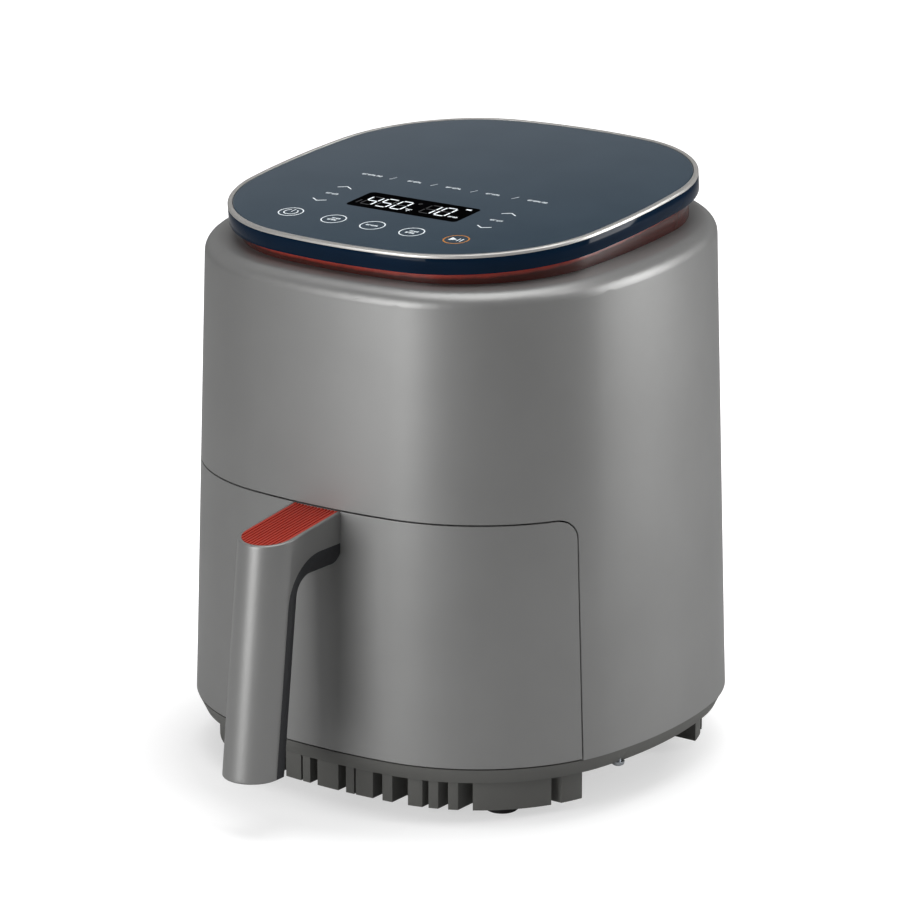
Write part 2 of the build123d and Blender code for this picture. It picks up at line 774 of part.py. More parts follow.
motor_bracket.part.label = "motor_bracket"
export_step(motor_bracket.part, "parts/motor_bracket.step")

with BuildPart() as motor_screws:
    with BuildSketch(hot_level(motor_bottom - bracket_plate - head_height)):
        with PolarLocations(motor_screw_ring, 3, start_angle=90):
            Circle(head_radius)
    extrude(amount=head_height)
    with BuildSketch(hot_level(motor_bottom - bracket_plate)):
        with PolarLocations(motor_screw_ring, 3, start_angle=90):
            Circle(screw_radius)
    extrude(amount=bracket_plate + motor_screw_bite)
motor_screws.part.label = "motor_screws"
export_step(motor_screws.part, "parts/motor_screws.step")

# ---- rear duct, vent and cord gland -------------------------------------------------------------------
vent_front = rear_face(vent_high) - vent_depth
vent_rear = body_half_y + vent_proud
slat_depth = 7.0
slat_count = 8
with BuildPart() as air_duct:
    with BuildSketch(rear_view):
        with Locations((0, (duct_low + duct_high) / 2)):
            RectangleRounded(2 * duct_half_x, duct_tall, duct_corner)
            RectangleRounded(
                2 * (duct_half_x - duct_wall), duct_tall - 2 * duct_wall, duct_corner - duct_wall,
                mode=Mode.SUBTRACT,
            )
    extrude(amount=vent_front)
    add(chamber_block(shell_bottom, chamber_top, slide_fit), mode=Mode.SUBTRACT)
    add(shell_form(wall), mode=Mode.INTERSECT)
air_duct.part.label = "air_duct"
export_step(air_duct.part, "parts/air_duct.step")

with BuildPart() as rear_vent:
    with BuildSketch(rear_view.offset(vent_front)):
        with Locations((0, vent_middle)):
            RectangleRounded(2 * vent_half_x, vent_size, vent_corner)
            RectangleRounded(
                2 * (vent_half_x - vent_slat), vent_size - 2 * vent_slat, vent_corner - vent_slat,
                mode=Mode.SUBTRACT,
            )
    extrude(amount=vent_rear - vent_front)
    with BuildSketch(rear_view.offset(vent_rear - slat_depth - 1)):
        with Locations((0, vent_middle)):
            with GridLocations(0, 2 * vent_slat, 1, slat_count):
                Rectangle(2 * (vent_half_x - vent_slat), vent_slat - 1)
            Rectangle(vent_slat, vent_size - 2 * vent_slat)
    extrude(amount=slat_depth)
rear_vent.part.label = "rear_vent"
export_step(rear_vent.part, "parts/rear_vent.step")

gland_length = 12.0
gland_round = 1.2
nut_setback = 2.0
with BuildPart() as cord_gland:
    with BuildSketch(rear_view.offset(gland_seat)):
        with Locations((0, gland_height)):
            Circle(gland_flange)
    extrude(amount=gland_recess + gland_proud)
    fillet(cord_gland.faces().sort_by(Axis.Y)[-1].edges(), gland_round)
    with BuildSketch(rear_view.offset(gland_seat - gland_length)):
        with Locations((0, gland_height)):
            Circle(gland_radius)
    extrude(amount=gland_length)
    with BuildSketch(rear_view.offset(gland_seat - gland_length)):
        with Locations((0, gland_height)):
            Circle(gland_bore)
    extrude(amount=gland_length + gland_recess + gland_proud, mode=Mode.SUBTRACT)
cord_gland.part.label = "cord_gland"
export_step(cord_gland.part, "parts/cord_gland.step")

with BuildPart() as gland_nut:
    with BuildSketch(rear_view.offset(gland_seat - gland_length + nut_setback)):
        with Locations((0, gland_height)):
            RegularPolygon(gland_flange, 6)
            Circle(gland_radius + running, mode=Mode.SUBTRACT)
    extrude(amount=gland_length - nut_setback - wall)
gland_nut.part.label = "gland_nut"
export_step(gland_nut.part, "parts/gland_nut.step")

# ---- power board --------------------------------------------------------------------------------------
board_rise = 20.0
board_height = chamber_top + board_rise
board_hole_inset = 4.0
board_hole_x = board_wide - 2 * board_hole_inset
board_hole_y = board_long - 2 * board_hole_inset
standoff_radius = 3.0
on_top = (Align.CENTER, Align.CENTER, Align.MIN)
with BuildPart() as power_board:
    with BuildSketch(hot_level(board_height)):
        with Locations((board_x, 0)):
            RectangleRounded(board_wide, board_long, 2)
            with GridLocations(board_hole_x, board_hole_y, 2, 2):
                Circle(screw_radius, mode=Mode.SUBTRACT)
    extrude(amount=board_thickness)
power_board.part.label = "power_board"
export_step(power_board.part, "parts/power_board.step")

with BuildPart() as board_standoffs:
    with BuildSketch(hot_level(chamber_top)):
        with Locations((board_x, 0)):
            with GridLocations(board_hole_x, board_hole_y, 2, 2):
                Circle(standoff_radius)
    extrude(amount=board_rise)
board_standoffs.part.label = "board_standoffs"
export_step(board_standoffs.part, "parts/board_standoffs.step")

board_face = board_height + board_thickness
transformer_size = (24.0, 26.0, 20.0)
transformer_y = 28.0
relay_size = (15.0, 19.0, 16.0)
relay_place = (-4.0, 2.0)
capacitor_radius = 5.0
capacitor_height = 16.0
capacitor_place = (8.0, -14.0)
parts_round = 0.8
with BuildPart() as power_parts:
    with Locations((board_x, basket_y + transformer_y, board_face)):
        Box(*transformer_size, align=on_top)
    with Locations((board_x + relay_place[0], basket_y + relay_place[1], board_face)):
        Box(*relay_size, align=on_top)
    with Locations((board_x + capacitor_place[0], basket_y + capacitor_place[1], board_face)):
        Cylinder(capacitor_radius, capacitor_height, align=on_top)
    fillet(power_parts.edges().group_by(Axis.Z)[-1], parts_round)
power_parts.part.label = "power_parts"
export_step(power_parts.part, "parts/power_parts.step")

terminal_size = (24.0, 12.0, 12.0)
terminal_place = (-2.0, -34.0)
terminal_pitch = 8.0
terminal_hole = 2.4
terminal_deep = 7.0
with BuildPart() as terminal_block:
    with Locations((board_x + terminal_place[0], basket_y + terminal_place[1], board_face)):
        Box(*terminal_size, align=on_top)
        with Locations((0, 0, terminal_size[2])):
            with GridLocations(terminal_pitch, 0, 3, 1):
                Hole(terminal_hole, terminal_deep)
terminal_block.part.label = "terminal_block"
export_step(terminal_block.part, "parts/terminal_block.step")

fuse_size = (26.0, 9.0, 5.0)
fuse_inset = 16.0
fuse_y = -50.0
fuse_round = 3.0
with BuildPart() as thermal_fuse:
    with Locations((fuse_inset - heater_outer, basket_y + fuse_y, chamber_top)):
        Box(*fuse_size, align=on_top)
    fillet(thermal_fuse.edges().filter_by(Axis.Z), fuse_round)
thermal_fuse.part.label = "thermal_fuse"
export_step(thermal_fuse.part, "parts/thermal_fuse.step")

sensor_inside = 14.0
sensor_outside = 10.0
sensor_collar = 6.0
collar_height = 4.0
with BuildPart() as temperature_sensor:
    with BuildSketch(hot_level(chamber_underside - sensor_inside)):
        with Locations(sensor_point):
            Circle(sensor_radius)
    extrude(amount=sheet + sensor_inside + sensor_outside)
    with BuildSketch(hot_level(chamber_top)):
        with Locations(sensor_point):
            RegularPolygon(sensor_collar, 6)
    extrude(amount=collar_height)
temperature_sensor.part.label = "temperature_sensor"
export_step(temperature_sensor.part, "parts/temperature_sensor.step")

# ---- drawer switch ------------------------------------------------------------------------------------
switch_front = switch_y + switch_long
plunger_front = drawer_depth + panel_gap - seat
plunger_seat = 6.0
plunger_bore = 10.0
with BuildPart() as drawer_switch:
    with BuildSketch(level(switch_height - switch_tall / 2)):
        with Locations((switch_x, -switch_y)):
            Rectangle(switch_wide, switch_long, align=(Align.MIN, Align.MAX))
    extrude(amount=switch_tall)
    with BuildSketch(front_view.offset(switch_front - plunger_bore)):
        with Locations((switch_x + switch_wide / 2, switch_height)):
            Circle(plunger_radius + running)
    extrude(amount=plunger_bore, mode=Mode.SUBTRACT)
drawer_switch.part.label = "drawer_switch"
export_step(drawer_switch.part, "parts/drawer_switch.step")

with BuildPart() as switch_plunger:
    with BuildSketch(front_view.offset(switch_front - plunger_seat)):
        with Locations((switch_x + switch_wide / 2, switch_height)):
            Circle(plunger_radius)
    extrude(amount=plunger_front - switch_front + plunger_seat)
switch_plunger.part.label = "switch_plunger"
export_step(switch_plunger.part, "parts/switch_plunger.step")

# ---- lid ----------------------------------------------------------------------------------------------
housing_floor = 2.0
glass_drop = glass_sink + glass_thickness
glass_fit = 0.15
glass_inset = rim_width + glass_fit
ledge = 1.6
pad_height = 0.8
pad_radius = 3.0
pad_pitch = (122.0, 72.0)
board_drop = band_height - housing_floor - pad_height - board_thickness
board_size = (132.0, 92.0)
board_corner = 6.0
board_centre = (0.0, 70.2 - lid_half_y)
key_row = 32.7 - lid_half_y
key_pitch = (0.0, -23.6, 23.6, -50.0, 50.0)
display_centre = (0.0, 65.9 - lid_half_y)
display_size = (67.0, 22.4)
spring_radius = 3.0
spring_bore = 2.0
arrow_pitch = (100.0, 22.7)
buzzer_radius = 5.0
buzzer_place = (40.0, 24.0)


def lid_block(drop, thickness, inset=0.0):
    """Block with the lid's outline, with its lower face a drop below the lid's top."""
    return straight_block(lid_shape, lid_plane(drop), thickness, inset)


with BuildPart() as lid_bosses:
    with BuildSketch(shoulder_plane()):
        with Locations(*lid_screw_points):
            Circle(boss_radius)
    extrude(amount=boss_height)
    split(bisect_by=lid_plane(band_height), keep=Keep.BOTTOM)

with BuildPart() as control_housing:
    add(lid_block(band_height, band_height - rim_height))
    add(lid_block(glass_drop, glass_drop, rim_width), mode=Mode.SUBTRACT)
    add(lid_block(band_height - housing_floor, band_height, rim_width + ledge), mode=Mode.SUBTRACT)
    with BuildSketch(lid_plane(band_height - housing_floor)):
        with Locations(board_centre):
            with GridLocations(*pad_pitch, 2, 2):
                Circle(pad_radius)
    extrude(amount=pad_height)
    add(lid_bosses.part)
    with BuildSketch(shoulder_plane()):
        with Locations(*lid_screw_points):
            Circle(screw_radius + running)
    extrude(amount=boss_radius, mode=Mode.SUBTRACT)
    with BuildSketch(lid_plane(band_height)):
        Circle(cable_hole)
    extrude(amount=housing_floor, mode=Mode.SUBTRACT)
control_housing.part.label = "control_housing"
export_step(control_housing.part, "parts/control_housing.step")

with BuildPart() as rim_trim:
    add(lid_block(rim_height, rim_height))
    add(lid_block(rim_height, rim_height, rim_width), mode=Mode.SUBTRACT)
rim_trim.part.label = "rim_trim"
export_step(rim_trim.part, "parts/rim_trim.step")

with BuildPart() as glass_panel:
    add(lid_block(glass_drop, glass_thickness, glass_inset))
glass_panel.part.label = "glass_panel"
export_step(glass_panel.part, "parts/glass_panel.step")

with BuildPart() as accent_ring:
    add(lid_block(ring_drop, ring_drop - band_height, ring_inset))
    add(lid_block(ring_drop, ring_drop - band_height, ring_inset + ring_wall), mode=Mode.SUBTRACT)
    split(bisect_by=shoulder_plane(), keep=Keep.TOP)
accent_ring.part.label = "accent_ring"
export_step(accent_ring.part, "parts/accent_ring.step")

with BuildPart() as control_screws:
    with BuildSketch(shoulder_plane(wall + head_height)):
        with Locations(*lid_screw_points):
            Circle(head_radius)
    extrude(amount=head_height)
    with BuildSketch(shoulder_plane(wall)):
        with Locations(*lid_screw_points):
            Circle(screw_radius)
    extrude(amount=wall + boss_radius - 0.5)
control_screws.part.label = "control_screws"
export_step(control_screws.part, "parts/control_screws.step")

with BuildPart() as control_board:
    with BuildSketch(lid_plane(board_drop + board_thickness)):
        with Locations(board_centre):
            RectangleRounded(*board_size, board_corner)
    extrude(amount=board_thickness)
control_board.part.label = "control_board"
export_step(control_board.part, "parts/control_board.step")

part_drop = glass_drop + glass_fit
with BuildPart() as display_module:
    with BuildSketch(lid_plane(board_drop)):
        with Locations(display_centre):
            Rectangle(*display_size)
    extrude(amount=board_drop - part_drop)
display_module.part.label = "display_module"
export_step(display_module.part, "parts/display_module.step")

with BuildPart() as touch_springs:
    with BuildSketch(lid_plane(board_drop)):
        with Locations(*[(place, key_row) for place in key_pitch]):
            Circle(spring_radius)
            Circle(spring_bore, mode=Mode.SUBTRACT)
        with GridLocations(*arrow_pitch, 2, 2):
            with Locations(display_centre):
                Circle(spring_radius)
                Circle(spring_bore, mode=Mode.SUBTRACT)
    extrude(amount=board_drop - part_drop)
touch_springs.part.label = "touch_springs"
export_step(touch_springs.part, "parts/touch_springs.step")

with BuildPart() as buzzer:
    with BuildSketch(lid_plane(board_drop)):
        with Locations((board_centre[0] + buzzer_place[0], board_centre[1] + buzzer_place[1])):
            Circle(buzzer_radius)
    extrude(amount=board_drop - part_drop)
buzzer.part.label = "buzzer"
export_step(buzzer.part, "parts/buzzer.step")

# ---- drawer front and basket --------------------------------------------------------------------------
basket_height = basket_rim - basket_bottom
basket_front = basket_half_y - basket_shift_y
panel_grow = basket_lip + seat
handle_screw_inset = 7.7
handle_screw_x = nose_radius - handle_screw_inset
handle_screw_z = arm_top - arm_drop / 2 - insert_depth
handle_screw_length = 16.0
head_gap = 0.4
rivet_x = 12.0
rivet_drop = 30.0
rivet_z = basket_rim - rivet_drop
rivet_radius = 2.0
rivet_head = 3.6
rivet_head_height = 1.0
bracket_size = (46.0, 30.0)
bracket_corner = 4.0
skin_rear = rear_face(handle_screw_z) - wall


def basket_form(inset, height):
    """The basket's leaning form from its rim down, drawn in by an inset, with a round bottom edge."""
    with BuildPart() as form:
        with BuildSketch(level_down(basket_rim, basket_y)):
            add(rounded_square(basket_shape, inset))
        extrude(amount=height, taper=basket_draft)
        fillet(form.faces().sort_by(Axis.Z)[0].edges(), basket_fillet - inset)
    return form.part


def front_holes(radius, places, low, high):
    """Round bars along Y at places across the front, between two distances in front of the axis."""
    with BuildPart() as bars:
        with BuildSketch(front_view.offset(low)):
            with Locations(*places):
                Circle(radius)
        extrude(amount=high - low)
    return bars.part


handle_screw_places = ((-handle_screw_x, handle_screw_z), (handle_screw_x, handle_screw_z))
rivet_places = ((-rivet_x, rivet_z), (rivet_x, rivet_z))
screw_end = skin_rear + handle_screw_length
panel_front = basket_front + panel_grow + panel_wall

with BuildPart() as drawer_front:
    add(skin.part)
    add(drawer_window(), mode=Mode.INTERSECT)
    add(front_holes(screw_radius + screw_play, handle_screw_places, 0, screw_end), mode=Mode.SUBTRACT)
drawer_front.part.label = "drawer_front"
export_step(drawer_front.part, "parts/drawer_front.step")

with BuildPart() as panel_hollow:
    add(body_block(chamber_low, drawer_top))
    add(drawer_window(-panel_gap - panel_wall), mode=Mode.INTERSECT)
    add(
        straight_block(basket_shape, hot_level(shell_bottom), drawer_top, -panel_grow - panel_wall),
        mode=Mode.SUBTRACT,
    )

with BuildPart() as drawer_inner_panel:
    add(body_block(chamber_low + seat, drawer_top, wall + running))
    add(drawer_window(-panel_gap), mode=Mode.INTERSECT)
    add(straight_block(basket_shape, hot_level(shell_bottom), drawer_top, -panel_grow), mode=Mode.SUBTRACT)
    add(panel_hollow.part, mode=Mode.SUBTRACT)
    add(front_holes(rivet_radius + running, rivet_places, 0, panel_front + panel_wall), mode=Mode.SUBTRACT)
drawer_inner_panel.part.label = "drawer_inner_panel"
export_step(drawer_inner_panel.part, "parts/drawer_inner_panel.step")

with BuildPart() as basket:
    add(basket_form(0.0, basket_height))
    add(basket_form(basket_wall, basket_height - basket_wall), mode=Mode.SUBTRACT)
    with BuildSketch(level(basket_rim - lip_thickness, basket_y)):
        add(rounded_square(basket_shape, -basket_lip))
        add(rounded_square(basket_shape, basket_wall), mode=Mode.SUBTRACT)
    extrude(amount=lip_thickness)
    add(front_holes(rivet_radius + running, rivet_places, 0, basket_front + 1), mode=Mode.SUBTRACT)
basket.part.label = "basket"
export_step(basket.part, "parts/basket.step")

with BuildPart() as basket_bracket:
    with BuildSketch(front_view):
        with Locations((0, rivet_z)):
            RectangleRounded(*bracket_size, bracket_corner)
    extrude(amount=panel_front)
    with BuildSketch(level(shell_bottom, basket_y)):
        add(rounded_square(basket_shape, -panel_grow))
    extrude(amount=drawer_top, mode=Mode.INTERSECT)
    with BuildSketch(level_down(basket_rim, basket_y)):
        add(rounded_square(basket_shape, -running))
    extrude(amount=basket_height, taper=basket_draft, mode=Mode.SUBTRACT)
    add(front_holes(rivet_radius + running, rivet_places, 0, panel_front), mode=Mode.SUBTRACT)
basket_bracket.part.label = "basket_bracket"
export_step(basket_bracket.part, "parts/basket_bracket.step")

rivet_face = panel_front + slide_fit
rivet_low = basket_front - (basket_rim - rivet_z) * tan(radians(basket_draft)) - basket_wall
with BuildPart() as basket_rivets:
    add(front_holes(rivet_radius, rivet_places, rivet_low - 1, panel_front + 1))
    add(front_holes(rivet_head, rivet_places, rivet_low - 0.5 - rivet_head_height, rivet_low - 0.5))
    add(front_holes(rivet_head, rivet_places, rivet_face, rivet_face + rivet_head_height))
    add(basket.part, mode=Mode.SUBTRACT)
basket_rivets.part.label = "basket_rivets"
export_step(basket_rivets.part, "parts/basket_rivets.step")

# ---- crisper plate ------------------------------------------------------------------------------------
plate_inset = basket_wall + (basket_rim - plate_height) * tan(radians(basket_draft)) + plate_gap
plate_pitch = 15.0
plate_hole = 3.6
plate_edge = 18.0
grip_hole = 11.0
plate_half = basket_half_x - plate_inset - plate_edge
plate_diagonal = basket_diagonal * basket_half_x / cos45 - plate_inset - plate_edge + plate_hole
side_rows = int(plate_half / plate_pitch)
rows = range(-side_rows, side_rows + 1)
plate_holes = [
    (column * plate_pitch, row * plate_pitch)
    for column in rows
    for row in rows
    if grip_hole + plate_pitch < sqrt(column**2 + row**2) * plate_pitch < plate_diagonal
]
with BuildPart() as crisper_plate:
    with BuildSketch(hot_level(plate_height)):
        add(rounded_square(basket_shape, plate_inset))
        Circle(grip_hole, mode=Mode.SUBTRACT)
        with Locations(*plate_holes):
            Circle(plate_hole, mode=Mode.SUBTRACT)
    extrude(amount=plate_thickness)
crisper_plate.part.label = "crisper_plate"
export_step(crisper_plate.part, "parts/crisper_plate.step")

plate_foot_inset = 35.0
plate_foot_place = basket_half_x - plate_foot_inset
plate_foot_radius = 6.0
plate_foot_low = basket_bottom + basket_wall + seat
with BuildPart() as plate_feet:
    with BuildSketch(hot_level(plate_foot_low)):
        with GridLocations(2 * plate_foot_place, 2 * plate_foot_place, 2, 2):
            Circle(plate_foot_radius)
    extrude(amount=plate_height - plate_foot_low)
plate_feet.part.label = "plate_feet"
export_step(plate_feet.part, "parts/plate_feet.step")

# ---- handle -------------------------------------------------------------------------------------------
grip_height = drawer_top + handle_slope * handle_width
socket_depth = 6.0         # how far the grey arm's underside runs on behind the drawer's face
socket_gap = 0.5
under_round = 7.5
knee_radius = 11.0
split_knee = 26.0
rib_gap = 0.4              # share of the rib pitch that a groove takes
rib_depth = 0.5


def arm_plane(drop=0.0):
    """The top face of the handle's arm, lowered along its normal; local Y runs back into the drawer."""
    return tilted(arm_top, arm_angle, -handle_root, drop)


def grip_line(depth, height):
    """Distance from the body's axis to a line a depth behind the grip's front, at a height."""
    return nose_reach + (nose_top - height) * handle_slope - depth


def nose_block(inset=0.0):
    """The handle's plan, a round nose and two straight sides into the drawer, run down along its lean."""
    radius = nose_radius - inset
    fall = grip_height - handle_bottom
    with BuildPart() as block:
        with BuildSketch(level(grip_height)):
            with Locations((0, nose_radius - grip_line(0, grip_height))):
                Circle(radius)
                Rectangle(2 * radius, 2 * handle_reach, align=(Align.CENTER, Align.MIN))
        extrude(amount=fall * sqrt(1 + handle_slope**2), dir=(0, -handle_slope, -1))
    return block.part


def side_block(points, radii):
    """Everything in front of a line down the handle's side and under the arm's sloping top."""
    far = grip_line(0, handle_bottom) + handle_width
    with BuildPart() as block:
        with BuildSketch(side_view):
            with BuildLine() as edge:
                line = FilletPolyline(*points, radius=radii)
                crown = arm_top + (handle_root - points[0][0]) * handle_slope
                far_crown = arm_top - (far - handle_root) * handle_slope
                Polyline(line @ 1, (far, handle_bottom), (far, far_crown), (points[0][0], crown), line @ 0)
            make_face()
        extrude(amount=handle_width, both=True)
    return block.part


split_height = arm_top - arm_drop
under_height = split_height - liner_drop
split_points = (
    (handle_root - socket_depth, split_height),
    (grip_line(nose_radius, split_height), split_height),
    (grip_line(nose_radius, handle_bottom), handle_bottom),
)
under_points = (
    (handle_root - socket_gap, under_height + nose_radius),
    (handle_root - socket_gap, under_height),
    (grip_line(grip_back, under_height), under_height),
    (grip_line(grip_back, handle_bottom), handle_bottom),
)

with BuildPart() as handle_form:
    add(nose_block())
    add(side_block(under_points, (under_round, knee_radius)), mode=Mode.INTERSECT)
    arm_edges = handle_form.faces().sort_by(Axis.Z)[-1].edges()
    fillet(arm_edges.sort_by(Axis.Y)[:-1], lip_radius)
    fillet(handle_form.faces().sort_by(Axis.Z)[0].edges(), lip_radius)
    add(body_block(shell_bottom, drawer_top), mode=Mode.SUBTRACT)

with BuildPart() as insert_pocket:
    add(nose_block(insert_lip))
    split(bisect_by=arm_plane(insert_depth), keep=Keep.TOP)

shell_side = side_block(split_points, (split_knee,))
handle_screw_bars = front_holes(screw_radius + running, handle_screw_places, 0, screw_end)
with BuildPart() as handle_shell:
    add(handle_form.part)
    add(shell_side, mode=Mode.INTERSECT)
    add(insert_pocket.part, mode=Mode.SUBTRACT)
    add(handle_screw_bars, mode=Mode.SUBTRACT)
handle_shell.part.label = "handle_shell"
export_step(handle_shell.part, "parts/handle_shell.step")

with BuildPart() as handle_liner:
    add(handle_form.part)
    add(shell_side, mode=Mode.SUBTRACT)
handle_liner.part.label = "handle_liner"
export_step(handle_liner.part, "parts/handle_liner.step")

rib_pitch = 2 * (nose_radius - insert_lip) / insert_ribs
with BuildPart() as handle_insert:
    add(nose_block(insert_lip + running))
    split(bisect_by=arm_plane(insert_depth), keep=Keep.TOP)
    split(bisect_by=arm_plane(), keep=Keep.BOTTOM)
    with BuildSketch(arm_plane(rib_depth)):
        with GridLocations(rib_pitch, 0, insert_ribs - 1, 1):
            Rectangle(rib_pitch * rib_gap, 4 * handle_reach)
    extrude(amount=insert_depth, mode=Mode.SUBTRACT)
    add(body_block(shell_bottom, drawer_top + handle_width, -slide_fit), mode=Mode.SUBTRACT)
handle_insert.part.label = "handle_insert"
export_step(handle_insert.part, "parts/handle_insert.step")

with BuildPart() as handle_screws:
    add(front_holes(screw_radius, handle_screw_places, skin_rear - head_gap, screw_end - head_gap))
    add(
        front_holes(
            head_radius, handle_screw_places, skin_rear - head_height - head_gap, skin_rear - head_gap,
        )
    )
handle_screws.part.label = "handle_screws"
export_step(handle_screws.part, "parts/handle_screws.step")
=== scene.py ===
# %% [markdown]
# # A basket air fryer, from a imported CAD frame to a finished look
# The CAD model has every piece at its real place and size, so nothing is placed by eye here. This lesson gives the
# pieces that show their small edges, ribs, prints and finishes, one step at a time, and each piece rides on the CAD
# body that it belongs to. Lengths are written in millimetres and turned to metres where a mesh is made.

# %% Load the frame
import json
import bmesh
import bpy
from math import atan2, cos, hypot, pi, radians, sin
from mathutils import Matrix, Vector


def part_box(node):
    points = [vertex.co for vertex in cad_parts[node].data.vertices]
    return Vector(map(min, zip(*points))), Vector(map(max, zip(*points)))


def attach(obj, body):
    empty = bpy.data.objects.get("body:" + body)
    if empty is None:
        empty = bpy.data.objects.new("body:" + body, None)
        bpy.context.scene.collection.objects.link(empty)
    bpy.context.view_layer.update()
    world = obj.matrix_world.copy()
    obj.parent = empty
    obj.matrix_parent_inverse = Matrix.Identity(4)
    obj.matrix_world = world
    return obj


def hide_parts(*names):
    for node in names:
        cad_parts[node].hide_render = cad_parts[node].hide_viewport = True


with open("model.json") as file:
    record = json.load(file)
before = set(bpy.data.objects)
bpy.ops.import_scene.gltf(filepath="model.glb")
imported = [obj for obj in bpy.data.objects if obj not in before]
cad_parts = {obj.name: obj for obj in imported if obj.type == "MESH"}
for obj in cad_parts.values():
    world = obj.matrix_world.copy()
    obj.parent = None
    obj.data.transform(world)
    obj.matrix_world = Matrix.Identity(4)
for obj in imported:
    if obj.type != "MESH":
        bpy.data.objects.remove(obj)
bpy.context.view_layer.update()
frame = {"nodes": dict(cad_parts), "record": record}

MM = 0.001
bodies = frame["record"]["behaviour"]["bodies"]
body_of_node = {node: body for body, nodes in bodies.items() for node in nodes}
slot_of_node = {part["node"]: part["material_slot"] for part in frame["record"]["subparts"]}
print("pieces in the frame:", len(frame["nodes"]), "bodies:", sorted(bodies))

# %% [markdown]
# ## The camera
# A long lens from the front right and a little above shows a product without bending its upright lines. The place is
# given by where it looks, how far off it stands, and two angles, which is easier to adjust than three coordinates.

# %% Camera
LOOK_AT = Vector((-5.1, 26.8, 152.7)) * MM
AZIMUTH, ELEVATION = 35.99, 16.1
DISTANCE = 2.26
LENS = 179.1


def direction(azimuth, elevation):
    """Unit vector from the object towards a viewer; azimuth 0 stands in front and turns towards +X."""
    a, e = radians(azimuth), radians(elevation)
    return Vector((sin(a) * cos(e), -cos(a) * cos(e), sin(e)))


def aim(item, place, target):
    """Puts an object at a place with its -Z axis at a target."""
    item.location = place
    item.rotation_euler = (Vector(target) - Vector(place)).to_track_quat("-Z", "Y").to_euler()


camera_data = bpy.data.cameras.new("camera")
camera_data.sensor_width = 36.0
camera_data.lens = LENS
camera = bpy.data.objects.new("camera", camera_data)
bpy.context.scene.collection.objects.link(camera)
aim(camera, LOOK_AT + direction(AZIMUTH, ELEVATION) * DISTANCE, LOOK_AT)
bpy.context.scene.camera = camera
bpy.context.scene.view_settings.view_transform = "Standard"

# %% [markdown]
# ## Colours and nodes
# Every colour is written as an sRGB hex value, as a paint chart gives it, and one function turns it into the linear
# light that a shader works in. One more function adds any node with its settings and links. Real surfaces are never
# even, so a third lets a pattern move a finish's colour, its roughness and its small relief.


# %% Colour and node helpers
def colour(code):
    """Linear RGBA for an sRGB hex value."""
    channels = [int(code[i : i + 2], 16) / 255 for i in (1, 3, 5)]
    return [c / 12.92 if c <= 0.04045 else ((c + 0.055) / 1.055) ** 2.4 for c in channels] + [1.0]


def node(tree, kind, inputs=(), **settings):
    """Adds a node. An input's value is a number or a tuple, or a socket, which is linked."""
    added = tree.nodes.new(kind)
    for name, value in settings.items():
        setattr(added, name, value)
    for name, value in dict(inputs).items():
        if isinstance(value, bpy.types.NodeSocket):
            tree.links.new(value, added.inputs[name])
        else:
            added.inputs[name].default_value = value
    return added


def material(name, **values):
    """A material with one Principled shader; values name its sockets with _ for a space."""
    made = bpy.data.materials.new(name)
    made.use_nodes = True
    shader = made.node_tree.nodes["Principled BSDF"]
    for socket, value in values.items():
        shader.inputs[socket.replace("_", " ").title().replace("Ior", "IOR")].default_value = value
    return made, made.node_tree, shader


def pattern(tree, size_mm, detail=2.0, stretch=(1, 1, 1)):
    """An uneven pattern in the object's own space, with spots about as wide as a size in millimetres."""
    where = node(tree, "ShaderNodeTexCoord")
    scaled = node(tree, "ShaderNodeMapping", {"Vector": where.outputs["Object"], "Scale": stretch})
    settings = {"Vector": scaled.outputs["Vector"], "Scale": 1 / (size_mm * MM), "Detail": detail, "Roughness": 0.55}
    return node(tree, "ShaderNodeTexNoise", settings).outputs["Fac"]


def surface(tree, shader, tint, codes, span=(0.35, 0.65), gloss=None, roughness=(0.5, 0.5), relief=None, depth_mm=0.0):
    """Moves the colour between two hex codes, the roughness between two values, and raises a small relief."""
    ramp = node(tree, "ShaderNodeValToRGB", {"Fac": tint})
    for element, place, code in zip(ramp.color_ramp.elements, span, codes):
        element.position = place
        element.color = colour(code)
    tree.links.new(ramp.outputs["Color"], shader.inputs["Base Color"])
    if gloss is not None:
        spread = node(tree, "ShaderNodeMapRange", {"Value": gloss, "To Min": roughness[0], "To Max": roughness[1]})
        tree.links.new(spread.outputs["Result"], shader.inputs["Roughness"])
    if relief is not None:
        raised = node(tree, "ShaderNodeBump", {"Height": relief, "Distance": depth_mm * MM, "Strength": 1.0})
        tree.links.new(raised.outputs["Normal"], shader.inputs["Normal"])


# %% [markdown]
# ## Finishes of the outside
# The casing carries a metal-flake grey paint: a soft, wide highlight with more contrast than a plain plastic has, and a
# faint grain in it. The base is a moulding in a darker warm grey. The handle's inlay is a plain red moulding, and its
# inner strip is a charcoal one that meets the fingers.


# %% Paint, mouldings and rubber
def textured(name, codes, roughness, grain_mm, depth_mm, ior=1.49, metallic=0.0):
    """A skin with fine bumps, a slow drift in colour and a slight change in gloss."""
    made, tree, shader = material(name, ior=ior, metallic=metallic)
    drift = pattern(tree, DRIFT_MM, 3.0)
    grain = pattern(tree, grain_mm, 3.0)
    spread = (roughness - GLOSS_SPREAD, roughness + GLOSS_SPREAD)
    surface(tree, shader, drift, codes, gloss=grain, roughness=spread, relief=grain, depth_mm=depth_mm)
    return made


DRIFT_MM, GLOSS_SPREAD = 60.0, 0.05
# The grain is drawn 0.5 mm wide, coarser than a real one of 0.1 mm, because a finer one wouldn't show.
# Casing and handle: half metallic, for the long soft highlights down the flanks.
casing_paint = textured("metal_flake_grey_paint", ("#8b8b8a", "#8f8f8e"), 0.40, 0.5, 0.006, ior=1.5, metallic=0.5)
